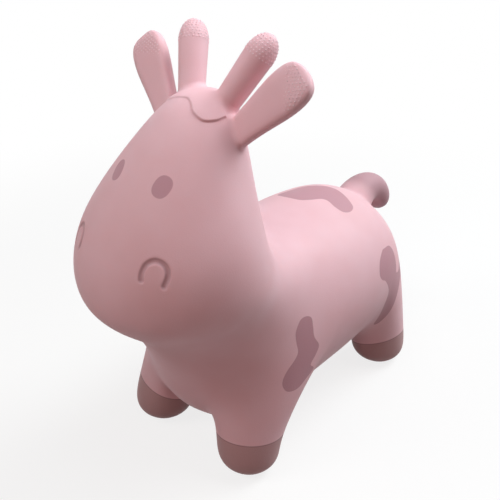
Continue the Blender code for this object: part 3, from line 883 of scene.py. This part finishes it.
def hoof_distance(points):
    """Signed height over the edge of the hoof's paint: negative on the hoof."""
    found = np.full(len(points), FAR)
    for (which, side), (height, outward, forward) in HOOF_LINES.items():
        away = points - np.array(foot_place(which, side))
        edge = height + outward * away[:, 0] * SIDES[side] - forward * away[:, 1]
        near = np.linalg.norm(away[:, :2], axis=1) < HOOF_PAINT_REACH
        distance = (away[:, 2] - edge) / math.hypot(1.0, outward, forward)
        found[near] = np.minimum(found[near], distance[near])
    return found


# The moulding


class Cut(NamedTuple):
    """A plane across a limb.  Past it lies the limb's own piece."""

    name: str
    body: str
    place: Vector
    direction: Vector
    tip: Vector
    reach: float
    bend: float

    def past(self, point):
        """How far past the plane the point lies."""
        return (point - self.place).dot(self.direction)


def limb_cuts():
    """The cuts across the horns, the ears, the tail and the feet."""
    settings = bpy.context.scene.cow_skin
    cuts = []
    for side in SIDES:
        for kind, limb, height, sizes in (
            ("horn", horn_limb(side), settings.horn_cut, HORN_CUT),
            ("ear", ear_limb(side), settings.ear_cut, EAR_CUT),
        ):
            way, tip = (limb.turn @ UP).normalized(), limb.at(limb.length)
            names = f"{kind}_grip_{side}", f"{kind}_{side}"
            cuts.append(Cut(*names, limb.at(height), way, tip, *sizes))
    place, forward, _ = tail_point(TAIL_CUT_SHARE)
    tip = tail_point(TAIL_TIP_SHARE)[0]
    cuts.append(Cut("tail_curl", "tail", place, forward.normalized(), tip, *TAIL_CUT))
    outwards, forwards = FOOT_CUT_LEAN
    for which, side in FEET:
        foot = foot_place(which, side)
        ahead = -forwards if which == "front" else forwards
        way = Vector((outwards * SIDES[side], ahead, -1.0)).normalized()
        names = f"foot_{which}_{side}", f"hoof_{which}_{side}"
        cuts.append(Cut(*names, foot + UP * FOOT_CUT_HEIGHT, way, foot, *FOOT_CUT))
    return cuts


def surface_tree(mesh):
    """The mesh as a tree that finds the nearest place on it."""
    bm = bmesh.new()
    bm.from_mesh(mesh)
    found = BVHTree.FromBMesh(bm)
    bm.free()
    return found


class Moulding:
    """The whole skin as one surface, and the piece that each face belongs to."""

    def __init__(self):
        body = body_form()
        limbs = [horn_form(side) for side in SIDES] + [ear_form(side) for side in SIDES]
        limbs.append(tail_form())
        self.body_tree = surface_tree(body)
        self.limb_trees = [surface_tree(limb) for limb in limbs]
        mesh = self.joined([body] + limbs)
        self.draw_to_forms(mesh)
        bm = bmesh.new()
        bm.from_mesh(mesh)
        self.refine_limbs(bm)
        self.refine_relief(bm)
        self.emboss(bm)
        self.divide(bm)

    def joined(self, meshes):
        """One skin round all the forms, with the hollows between them rounded."""
        settings = bpy.context.scene.cow_skin
        bm = bmesh.new()
        for mesh in meshes:
            bm.from_mesh(mesh)
        obj = link(bpy.data.objects.new("moulding", finished_mesh("moulding", bm)))
        remesh = obj.modifiers.new("Join", "REMESH")
        remesh.mode = "VOXEL"
        remesh.voxel_size = settings.voxel
        remesh.adaptivity = 0.0
        smooth = obj.modifiers.new("Fillets", "SMOOTH")
        smooth.factor = 0.5
        smooth.iterations = settings.fillet_passes
        made = evaluated(obj)
        bpy.data.objects.remove(obj)
        return made

    def drawn(self, point):
        """The point moved on to a form, and how much nearer a limb is than the body."""
        on_body, _, _, body_gap = self.body_tree.find_nearest(point)
        on_limb, limb_gap = None, FAR
        for tree in self.limb_trees:
            found, _, _, gap = tree.find_nearest(point, limb_gap)
            if found is not None and gap < limb_gap:
                on_limb, limb_gap = found, gap
        target = on_body if body_gap < limb_gap else on_limb
        share = float(smoothstep(*FILLET_GAPS, max(body_gap, limb_gap)))
        return point.lerp(target, share), body_gap - limb_gap

    def draw_to_forms(self, mesh):
        """Moves the skin back on to the forms, but for the fillets between them."""
        points = [self.drawn(Vector(point))[0] for point in positions(mesh)]
        mesh.vertices.foreach_set("co", np.array(points, np.float32).ravel())
        mesh.update()

    def refine_limbs(self, bm):
        """Splits the faces of horns, ears and tail once, for their edges and tips."""
        on_limb = {vert for vert in bm.verts if self.drawn(vert.co)[1] > LIMB_GAP}
        edges = [edge for edge in bm.edges if on_limb.issuperset(edge.verts)]
        made = bmesh.ops.subdivide_edges(bm, edges=edges, cuts=1, use_grid_fill=True)
        for item in made["geom_inner"]:
            if isinstance(item, bmesh.types.BMVert):
                item.co = self.drawn(item.co)[0]

    def refine_relief(self, bm):
        """Splits the faces near the nostrils and the forelock's edge."""
        for _ in range(RELIEF_SPLITS):
            bm.normal_update()
            points, normals = corner_arrays(bm)
            crown, _ = forelock_distance(points, normals, self.body_tree)
            near = nostril_distance(points) < RELIEF_REACH
            near |= np.abs(crown) < RELIEF_REACH
            bm.verts.index_update()
            edges = [edge for edge in bm.edges if all(near[vert.index] for vert in edge.verts)]
            bmesh.ops.subdivide_edges(bm, edges=edges, cuts=1, use_grid_fill=True)

    def emboss(self, bm):
        """Raises the forelock and sinks the nostrils."""
        settings = bpy.context.scene.cow_skin
        bm.normal_update()
        points, normals = corner_arrays(bm)
        crown, strength = forelock_distance(points, normals, self.body_tree)
        height = smoothstep(-FORELOCK_STEP, FORELOCK_STEP, crown)
        height *= 1.0 - smoothstep(*FORELOCK_SLOPE, crown)
        move = height * strength * settings.forelock_height
        share = nostril_distance(points) / (settings.nostril_width / 2.0)
        move -= (1.0 - smoothstep(*NOSTRIL_WALL_SHARES, share)) * settings.nostril_depth
        start, top, end = NOSTRIL_LIP_SHARES
        lip = smoothstep(start, top, share) * (1.0 - smoothstep(top, end, share))
        move += lip * settings.nostril_lip
        for vert, place, normal, step in zip(bm.verts, points, normals, move):
            if step:
                vert.co = place + normal * step

    def divide(self, bm):
        """Cuts the skin across its limbs and keeps it as plain arrays."""
        self.cuts = limb_cuts()
        owner = bm.faces.layers.int.new("owner")
        for cut in self.cuts:
            near = {vert for vert in bm.verts if (vert.co - cut.place).length < cut.reach}
            geom = set(near)
            for vert in near:
                geom.update(vert.link_edges)
                geom.update(vert.link_faces)
            plane = {"plane_co": cut.place, "plane_no": cut.direction, "dist": CUT_TOLERANCE}
            bmesh.ops.bisect_plane(bm, geom=list(geom), **plane)
        for number, cut in enumerate(self.cuts, 1):
            seed = min(bm.verts, key=lambda vert: (vert.co - cut.tip).length).link_faces[0]
            seed[owner] = number
            stack = [seed]
            while stack:
                for edge in stack.pop().edges:
                    for other in edge.link_faces:
                        if other[owner] != number and cut.past(other.calc_center_median()) > 0.0:
                            other[owner] = number
                            stack.append(other)
        bm.normal_update()
        bm.verts.index_update()
        self.points, self.normals = corner_arrays(bm)
        self.points = np.clip(self.points, *CAD_BOX)
        self.faces = [[vert.index for vert in face.verts] for face in bm.faces]
        self.owners = [face[owner] for face in bm.faces]
        bm.free()
        self.owner_of = {}
        for face, found in zip(self.faces, self.owners):
            for ends in face_edges(face):
                self.owner_of[ends] = found

    def piece(self, name, number):
        """One piece as a closed object, its cuts capped and its shading unbroken."""
        chosen = [face for face, owner in zip(self.faces, self.owners) if owner == number]
        rims = {}
        for face in chosen:
            for a, b in face_edges(face):
                other = self.owner_of[b, a]
                if other != number:
                    rims.setdefault(max(other, number), []).append((b, a))
        used = sorted({index for face in chosen for index in face})
        fresh = {old: new for new, old in enumerate(used)}
        points = [self.points[old] for old in used]
        faces = [[fresh[old] for old in face] for face in chosen]
        corner_normals = [self.normals[old] for face in chosen for old in face]
        for cap, rim in rims.items():
            direction = np.array(self.cuts[cap - 1].direction)
            if number == cap:
                direction = -direction
            middle = len(points)
            points.append(np.mean([self.points[a] for a, _ in rim], 0))
            for a, b in rim:
                faces.append([fresh[a], fresh[b], middle])
                corner_normals += [direction] * 3
        mesh = bpy.data.meshes.new(name)
        mesh.from_pydata([tuple(point) for point in points], [], faces)
        mesh.shade_smooth()
        mesh.normals_split_custom_set([tuple(normal) for normal in corner_normals])
        obj = link(bpy.data.objects.new(name, mesh))
        self.paint(mesh, used)
        mesh.materials.append(skin_material())
        return obj

    def paint(self, mesh, used):
        """Keeps the distances to the painted edges on the piece, in metres."""
        points, normals = self.points[used], self.normals[used]
        spare = len(mesh.vertices) - len(used)
        for name, values in (
            ("patch_edge", patch_distance(points, normals)),
            ("eye_edge", eye_distance(points)),
            ("nostril_line", nostril_distance(points)),
            ("hoof_edge", hoof_distance(points)),
            ("tail_shade_share", tail_shade_share(points, self.body_tree)),
        ):
            layer = mesh.attributes.new(name, "FLOAT", "POINT")
            layer.data.foreach_set("value", np.append(values, [FAR] * spare).astype(np.float32))


@cache
def moulding():
    """The skin, made once for all its pieces."""
    return Moulding()


def add_limb_piece(name, replaced):
    """The limb's end, cut off the skin as a piece of its own."""
    cuts = moulding().cuts
    number = [cut.name for cut in cuts].index(name) + 1
    obj = moulding().piece(name, number)
    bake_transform(obj)
    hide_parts(*replaced)


# Grip dots


def horn_dot_places(side):
    """Rings of dots round the end of a horn, every second one turned by half a step."""
    limb = horn_limb(side)
    found = []
    height, row = HORN_DOTS_SHARE * limb.length, 0
    while height < limb.length - DOT_PITCH / 2.0:
        radius = horn_radius(limb, height)
        slope = (horn_radius(limb, height + MM) - radius) / MM
        count = max(LEAST_DOTS_IN_RING, round(math.tau * radius / DOT_PITCH))
        for turn in range(count):
            angle = math.tau * (turn + 0.5 * (row % 2)) / count
            spoke = Vector((math.cos(angle), math.sin(angle), 0.0))
            facing = (spoke - UP * slope).normalized()
            found.append((limb.frame @ (spoke * radius + UP * height), limb.turn @ facing, 1.0))
        height += DOT_ROW / math.hypot(1.0, slope)
        row += 1
    return found


def ear_dot_places(side, tree):
    """Rows of dots across the end of an ear's face, set on its surface."""
    limb = ear_limb(side)
    forwards = limb.turn @ Vector((0.0, -1.0, 0.0))
    found = []
    lowest = EAR_DOTS_SHARE - EAR_DOTS_SLANT_SHARE
    columns = round(EAR_WIDTH / DOT_PITCH)
    for row in range(round((EAR_DOTS_END_SHARE - lowest) * limb.length / DOT_ROW)):
        height = lowest * limb.length + row * DOT_ROW
        for column in range(-columns, columns + 1):
            across = (column + 0.5 * (row % 2)) * DOT_PITCH
            slant = EAR_DOTS_SLANT_SHARE * across / (EAR_WIDTH / 2.0)
            start = (EAR_DOTS_SHARE - slant) * limb.length
            size = float(smoothstep(0.0, DOTS_FADE, height - start))
            in_front = limb.frame @ Vector((across, -EAR_WIDTH, height))
            place, facing, _, _ = tree.ray_cast(in_front, -forwards)
            if place and size >= LEAST_DOT_SIZE and facing.dot(forwards) >= LEAST_DOT_FACING:
                found.append((place, facing, size))
    return found


@cache
def dots_tree():
    """Geometry Nodes: a low round dot on each point, standing along its facing."""
    tree = bpy.data.node_groups.new("grip_dots", "GeometryNodeTree")
    face = tree.interface
    face.new_socket("Places", in_out="INPUT", socket_type="NodeSocketGeometry")
    for name, value in (("Dot radius", DOT_RADIUS), ("Dot height", DOT_HEIGHT)):
        socket = face.new_socket(name, in_out="INPUT", socket_type="NodeSocketFloat")
        socket.default_value = value
        socket.subtype = "DISTANCE"
    face.new_socket("Finish", in_out="INPUT", socket_type="NodeSocketMaterial")
    face.new_socket("Dots", in_out="OUTPUT", socket_type="NodeSocketGeometry")
    given = add_node(tree, "NodeGroupInput").outputs
    values = {**DOT_FACETS, "Radius": 1.0}
    dome = add_node(tree, "GeometryNodeMeshUVSphere", values).outputs["Mesh"]
    kept = {}
    for name, kind in (("facing", "FLOAT_VECTOR"), ("size", "FLOAT")):
        values = {"Name": name}
        node = add_node(tree, "GeometryNodeInputNamedAttribute", values, data_type=kind)
        kept[name] = node.outputs["Attribute"]
    values = {"Vector": kept["facing"]}
    turn = add_node(tree, "FunctionNodeAlignRotationToVector", values, axis="Z").outputs[0]
    values = {"X": given["Dot radius"], "Y": given["Dot radius"], "Z": given["Dot height"]}
    size = add_node(tree, "ShaderNodeCombineXYZ", values).outputs[0]
    values = {0: size, "Scale": kept["size"]}
    size = add_node(tree, "ShaderNodeVectorMath", values, operation="SCALE").outputs[0]
    values = {"Points": given["Places"], "Instance": dome, "Rotation": turn, "Scale": size}
    dots = add_node(tree, "GeometryNodeInstanceOnPoints", values).outputs[0]
    real = add_node(tree, "GeometryNodeRealizeInstances", {"Geometry": dots}).outputs[0]
    values = {"Geometry": real, "Material": given["Finish"]}
    done = add_node(tree, "GeometryNodeSetMaterial", values).outputs[0]
    add_node(tree, "NodeGroupOutput", {"Dots": done})
    return tree


def add_dots(name, body, places):
    """The dots of one grip, where they fit under the CAD box, as a mesh on its body."""
    settings = bpy.context.scene.cow_skin
    ceiling = CAD_BOX[1][2] - DOT_HEIGHT
    places = [found for found in places if found[0].z < ceiling]
    carrier = bpy.data.meshes.new(name)
    carrier.from_pydata([tuple(place) for place, _, _ in places], [], [])
    layer = carrier.attributes.new("facing", "FLOAT_VECTOR", "POINT")
    layer.data.foreach_set("vector", np.array([facing for _, facing, _ in places]).ravel())
    layer = carrier.attributes.new("size", "FLOAT", "POINT")
    layer.data.foreach_set("value", [size for _, _, size in places])
    obj = link(bpy.data.objects.new(name, carrier))
    modifier = obj.modifiers.new("Dots", "NODES")
    modifier.node_group = dots_tree()
    values = {
        "Dot radius": settings.dot_radius,
        "Dot height": settings.dot_height,
        "Finish": dot_highlight_material(),
    }
    for item in modifier.node_group.interface.items_tree:
        if item.in_out == "INPUT" and item.name in values:
            modifier[item.identifier] = values[item.name]
    mesh = evaluated(obj)
    obj.modifiers.remove(modifier)
    obj.data = mesh
    mesh.shade_smooth()
    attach(obj, body)


# Materials


def clouds(tree, coords, spacing, detail=2.0):
    """A pattern of soft spots that lie about the spacing apart, from 0 to 1."""
    values = {"Vector": coords, "Scale": 1.0 / spacing, "Detail": detail}
    found = add_node(tree, "ShaderNodeTexNoise", values).outputs["Fac"]
    values = {"Value": found, "From Min": NOISE_RANGE[0], "From Max": NOISE_RANGE[1]}
    return add_node(tree, "ShaderNodeMapRange", values).outputs["Result"]


def painted(tree, name, full, gone):
    """1 where the value kept under this name is full, 0 where it is gone."""
    edge = add_node(tree, "ShaderNodeAttribute", attribute_name=name).outputs["Fac"]
    values = {"Value": edge, "From Min": full, "From Max": gone, "To Min": 1.0, "To Max": 0.0}
    return add_node(tree, "ShaderNodeMapRange", values).outputs["Result"]


def soft_pvc(name, finish, under, over):
    """Soft PVC, clouded from one colour to the other: matt, and finely pebbled."""
    spacing, grain_height = finish
    material = bpy.data.materials.new(name)
    material.use_nodes = True
    tree = material.node_tree
    shader = tree.nodes["Principled BSDF"]
    coords = add_node(tree, "ShaderNodeTexCoord").outputs["Object"]
    values = {0: clouds(tree, coords, spacing), 6: under, 7: over}
    colour = add_node(tree, "ShaderNodeMix", values, data_type="RGBA").outputs[2]
    tree.links.new(colour, shader.inputs["Base Color"])
    grain = clouds(tree, coords, GRAIN_WIDTH, 1.0)
    values = {"Height": grain, "Strength": 1.0, "Distance": grain_height}
    bump = add_node(tree, "ShaderNodeBump", values).outputs["Normal"]
    tree.links.new(bump, shader.inputs["Normal"])
    drift = clouds(tree, coords, ROUGHNESS_DRIFT_REACH)
    low, high = (PVC_ROUGHNESS + step for step in ROUGHNESS_DRIFT)
    values = {"Value": drift, "To Min": low, "To Max": high}
    rough = add_node(tree, "ShaderNodeMapRange", values).outputs["Result"]
    tree.links.new(rough, shader.inputs["Roughness"])
    shader.inputs["IOR"].default_value = PVC_IOR
    shader.inputs["Specular IOR Level"].default_value = PVC_SPECULAR
    shader.inputs["Subsurface Weight"].default_value = PVC_SUBSURFACE
    shader.inputs["Subsurface Radius"].default_value = PVC_SUBSURFACE_RADIUS
    shader.inputs["Subsurface Scale"].default_value = PVC_SUBSURFACE_REACH
    return material, colour


@cache
def skin_material():
    """Soft PVC, rotationally moulded and sprayed through masks.

    Rotomoulded PVC is one matt skin with no seam, clouded a little where the wall's
    thickness drifts.  The patches, eyes, nostrils and hooves are sprayed on, so their
    edges are crisp and the pebbled skin shows through them.
    """
    look = bpy.context.scene.cow_colours
    name = "rotomoulded_pvc_skin"
    material, colour = soft_pvc(name, SKIN_FINISH, look.skin, look.skin_cloud)
    tree = material.node_tree
    for distance, ends, paint in PAINTS:
        values = {0: painted(tree, distance, *ends), 6: colour, 7: getattr(look, paint)}
        colour = add_node(tree, "ShaderNodeMix", values, data_type="RGBA").outputs[2]
    tree.links.new(colour, tree.nodes["Principled BSDF"].inputs["Base Color"])
    return material


@cache
def dot_highlight_material():
    """The grip dots: the same PVC, paler than the skin as a painted highlight, so that they show
    as light specks.
    """
    look = bpy.context.scene.cow_colours
    return soft_pvc("pvc_dots_painted_highlight", DOT_FINISH, look.dot, look.skin)[0]


@cache
def valve_material():
    """The valve's collar and plug: injection-moulded PVC, smoother than the skin."""
    look = bpy.context.scene.cow_colours
    return soft_pvc("injection_moulded_pvc_valve", VALVE_FINISH, look.plug, look.skin)[0]


def seen_rays(tree):
    """1 for rays from the camera, mirror-like ones and those through glass."""
    path = add_node(tree, "ShaderNodeLightPath").outputs
    found = path["Is Camera Ray"]
    for name in ("Is Glossy Ray", "Is Transmission Ray"):
        values = {0: found, 1: path[name]}
        found = add_node(tree, "ShaderNodeMath", values, operation="MAXIMUM").outputs[0]
    return found


def floor_material():
    """Matt white floor board: it keeps a faint shadow and goes to white further off."""
    material = bpy.data.materials.new("matt_floor_board")
    material.use_nodes = True
    tree = material.node_tree
    tree.nodes.clear()
    board = add_node(tree, "ShaderNodeBsdfDiffuse", {"Color": FLOOR_GREY}).outputs[0]
    values = {"Color": WHITE, "Strength": FLOOR_GLOW}
    glow = add_node(tree, "ShaderNodeEmission", values).outputs[0]
    near = add_node(tree, "ShaderNodeAddShader", {0: board, 1: glow}).outputs[0]
    far = add_node(tree, "ShaderNodeEmission", {"Color": WHITE, "Strength": 1.0}).outputs[0]
    coords = add_node(tree, "ShaderNodeTexCoord").outputs["Object"]
    away = add_node(tree, "ShaderNodeVectorMath", {0: coords}, operation="LENGTH")
    values = {"Value": away.outputs["Value"], "From Min": FLOOR_NEAR, "From Max": FLOOR_WHITE_FROM}
    away = add_node(tree, "ShaderNodeMapRange", values, interpolation_type="SMOOTHSTEP")
    seen = add_node(tree, "ShaderNodeMixShader", {0: away.outputs[0], 1: near, 2: far})
    unseen = add_node(tree, "ShaderNodeBsdfDiffuse", {"Color": FLOOR_BOUNCE}).outputs[0]
    values = {0: seen_rays(tree), 1: unseen, 2: seen.outputs[0]}
    mixed = add_node(tree, "ShaderNodeMixShader", values).outputs[0]
    add_node(tree, "ShaderNodeOutputMaterial", {"Surface": mixed})
    return material


def studio_world(strength):
    """Even light all round, and white where the camera sees past the floor."""
    world = bpy.data.worlds.new("studio")
    world.use_nodes = True
    tree = world.node_tree
    tree.nodes.clear()
    values = {"Color": FILL_TINT, "Strength": strength}
    light = add_node(tree, "ShaderNodeBackground", values).outputs[0]
    values = {"Color": WHITE, "Strength": 1.0}
    white = add_node(tree, "ShaderNodeBackground", values).outputs[0]
    values = {0: seen_rays(tree), 1: light, 2: white}
    mixed = add_node(tree, "ShaderNodeMixShader", values).outputs[0]
    add_node(tree, "ShaderNodeOutputWorld", {"Surface": mixed})
    return world


# Operators


class COW_OT_body(bpy.types.Operator):
    """The skin of trunk, head and legs, as far as the limbs' cuts"""

    bl_idname = "cow.body"
    bl_label = "Body skin"

    def execute(self, context):
        obj = moulding().piece("cow_skin", 0)
        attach(obj, "body")
        roots = ["tail_root"]
        for side in SIDES:
            roots += [f"horn_root_{side}", f"ear_root_{side}"]
        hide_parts("trunk_skin", "head_skin", *roots)
        return {"FINISHED"}


class COW_OT_grips(bpy.types.Operator):
    """The horns and the ears, which a child holds"""

    bl_idname = "cow.grips"
    bl_label = "Horns and ears"

    def execute(self, context):
        for side in SIDES:
            for kind in ("horn", "ear"):
                add_limb_piece(f"{kind}_grip_{side}", [f"{kind}_{side}"])
        return {"FINISHED"}


class COW_OT_grip_dots(bpy.types.Operator):
    """The raised dots on the ends of the horns and the ears"""

    bl_idname = "cow.grip_dots"
    bl_label = "Grip dots"

    def execute(self, context):
        for side, tree in zip(SIDES, moulding().limb_trees[2:4]):
            add_dots(f"horn_dots_{side}", f"horn_{side}", horn_dot_places(side))
            add_dots(f"ear_dots_{side}", f"ear_{side}", ear_dot_places(side, tree))
        return {"FINISHED"}


class COW_OT_tail(bpy.types.Operator):
    """The curl of the tail"""

    bl_idname = "cow.tail"
    bl_label = "Tail"

    def execute(self, context):
        add_limb_piece("tail_curl", ["tail"])
        return {"FINISHED"}


class COW_OT_feet(bpy.types.Operator):
    """The four springy feet with their hooves"""

    bl_idname = "cow.feet"
    bl_label = "Feet"

    def execute(self, context):
        for which, side in FEET:
            end = f"{which}_{side}"
            add_limb_piece(f"foot_{end}", [f"leg_{end}", f"hoof_{end}"])
        return {"FINISHED"}


class COW_OT_valve(bpy.types.Operator):
    """The finish of the valve under the belly"""

    bl_idname = "cow.valve"
    bl_label = "Valve"

    def execute(self, context):
        for name in ("valve_collar", "valve_plug"):
            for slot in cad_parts[name].material_slots:
                slot.material = valve_material()
        return {"FINISHED"}


class COW_OT_stage(bpy.types.Operator):
    """The floor, the lights and the camera"""

    bl_idname = "cow.stage"
    bl_label = "Stage"

    def execute(self, context):
        scene = context.scene
        mesh = bpy.data.meshes.new("floor")
        corners = [(x * FLOOR_HALF, y * FLOOR_HALF, 0.0) for x, y in FLOOR_CORNERS]
        mesh.from_pydata(corners, [], [(0, 1, 2, 3)])
        mesh.materials.append(floor_material())
        link(bpy.data.objects.new("floor", mesh))
        scene.world = studio_world(scene.cow_stage.fill)
        for name, place, width, share, tint in LAMPS:
            lamp = bpy.data.lights.new(name, "AREA")
            lamp.color = tint
            lamp.shape = "DISK"
            lamp.size = width
            way = Vector(place) - LAMP_AIM
            # A lamp of power P at distance d shows the share P / (pi d)^2 of a colour
            lamp.energy = share * scene.cow_stage.lamps * math.pi**2 * way.length_squared
            obj = link(bpy.data.objects.new(name, lamp))
            obj.location = place
            obj.rotation_euler = way.to_track_quat("Z", "Y").to_euler()

        camera = link(bpy.data.objects.new("camera", bpy.data.cameras.new("camera")))
        camera.data.sensor_width = CAMERA_SENSOR
        camera.data.lens = CAMERA_FOCAL_PIXELS / IMAGE_PIXELS * CAMERA_SENSOR
        camera.location = CAMERA_PLACE
        camera.rotation_euler = (math.pi / 2.0 - CAMERA_ELEVATION, 0.0, CAMERA_AZIMUTH)
        scene.camera = camera
        scene.view_settings.view_transform = "Standard"
        return {"FINISHED"}


# Settings and panel


def metres(name, description, default):
    """A setting in metres."""
    return FloatProperty(name=name, description=description, default=default, unit="LENGTH")


def swatch(name, description, hex_colour):
    """A setting that is a colour."""
    return FloatVectorProperty(
        name=name,
        description=description,
        default=linear(hex_colour),
        size=4,
        min=0.0,
        max=1.0,
        subtype="COLOR",
    )


class COW_skin_settings(bpy.types.PropertyGroup):
    """Sizes of the skin and of what stands on it"""

    voxel: metres("Facet", "Edge of the skin's facets", 0.0030)
    fillet_passes: IntProperty(
        name="Fillet passes", description="How far the hollows are rounded", default=15
    )
    horn_cut: metres("Horn bend", "Height over its base where a horn starts to bend", 0.012)
    ear_cut: metres("Ear bend", "Height over its base where an ear starts to bend", 0.015)
    forelock_height: metres("Forelock", "How far the forelock stands off the forehead", 0.0024)
    nostril_width: metres("Nostril width", "Width of a nostril's groove", 0.0074)
    nostril_depth: metres("Nostril depth", "How deep a nostril is sunk", 0.0016)
    nostril_lip: metres("Nostril lip", "Height of the lip round a nostril", 0.0002)
    dot_radius: metres("Dot radius", "Radius of a grip dot", DOT_RADIUS)
    dot_height: metres("Dot height", "How far a grip dot stands up", DOT_HEIGHT)


class COW_colours(bpy.types.PropertyGroup):
    """Colours of the dyed PVC and of its paints"""

    skin: swatch("Skin", "Dyed PVC of the body", "#EFC6CE")
    skin_cloud: swatch("Skin cloud", "The skin where its wall is thicker", "#EBBEC5")
    # Painted highlight: the dots are paler than the skin to stand in for the light that they catch
    dot: swatch("Dots", "Rubbed grip dots", "#F8DCE2")
    plug: swatch("Valve", "Collar and plug of the valve", "#F3D9DD")
    patch: swatch("Patches", "Sprayed patches", "#C4959F")
    eye: swatch("Eyes", "Sprayed eyes", "#C89AA5")
    nostril: swatch("Nostrils", "Sprayed grooves of the nostrils", "#CBA2A9")
    # Painted shade: the tail is darker than the skin to stand in for the shade that it lies in
    tail: swatch("Tail", "Tail, shaded with a little of the patches' paint", "#BD959D")
    hoof: swatch("Hooves", "Sprayed hooves", "#BE9799")
    hoof_rim: swatch("Hoof rim", "Thin edge of the hooves' paint", "#A98388")


class COW_stage_settings(bpy.types.PropertyGroup):
    """Strengths of the lights"""

    fill: FloatProperty(name="Fill", description="Strength of the light all round", default=0.05)
    lamps: FloatProperty(name="Lamps", description="Strength of the soft lamps", default=1.0)


class COW_PT_panel(bpy.types.Panel):
    """Lists the pieces and their settings"""

    bl_label = "Ride on cow"
    bl_idname = "COW_PT_panel"
    bl_space_type = "VIEW_3D"
    bl_region_type = "UI"
    bl_category = "Ride on cow"

    def draw(self, context):
        layout = self.layout
        for group in (context.scene.cow_skin, context.scene.cow_colours, context.scene.cow_stage):
            for name in group.__annotations__:
                layout.prop(group, name)
        for operator in OPERATORS:
            layout.operator(operator.bl_idname)


OPERATORS = (
    COW_OT_body,
    COW_OT_grips,
    COW_OT_grip_dots,
    COW_OT_tail,
    COW_OT_feet,
    COW_OT_valve,
    COW_OT_stage,
)
CLASSES = (COW_skin_settings, COW_colours, COW_stage_settings, *OPERATORS, COW_PT_panel)


def register():
    """Adds the classes and the settings to Blender."""
    for cls in CLASSES:
        bpy.utils.register_class(cls)
    bpy.types.Scene.cow_skin = PointerProperty(type=COW_skin_settings)
    bpy.types.Scene.cow_colours = PointerProperty(type=COW_colours)
    bpy.types.Scene.cow_stage = PointerProperty(type=COW_stage_settings)


def unregister():
    """Takes the settings and the classes out of Blender again."""
    del bpy.types.Scene.cow_stage, bpy.types.Scene.cow_colours, bpy.types.Scene.cow_skin
    for cls in reversed(CLASSES):
        bpy.utils.unregister_class(cls)


def main():
    """Makes all the pieces and the stage."""
    register()
    for operator in OPERATORS:
        name = operator.bl_idname.split(".")[1]
        getattr(bpy.ops.cow, name)()


if __name__ == "__main__":
    main()
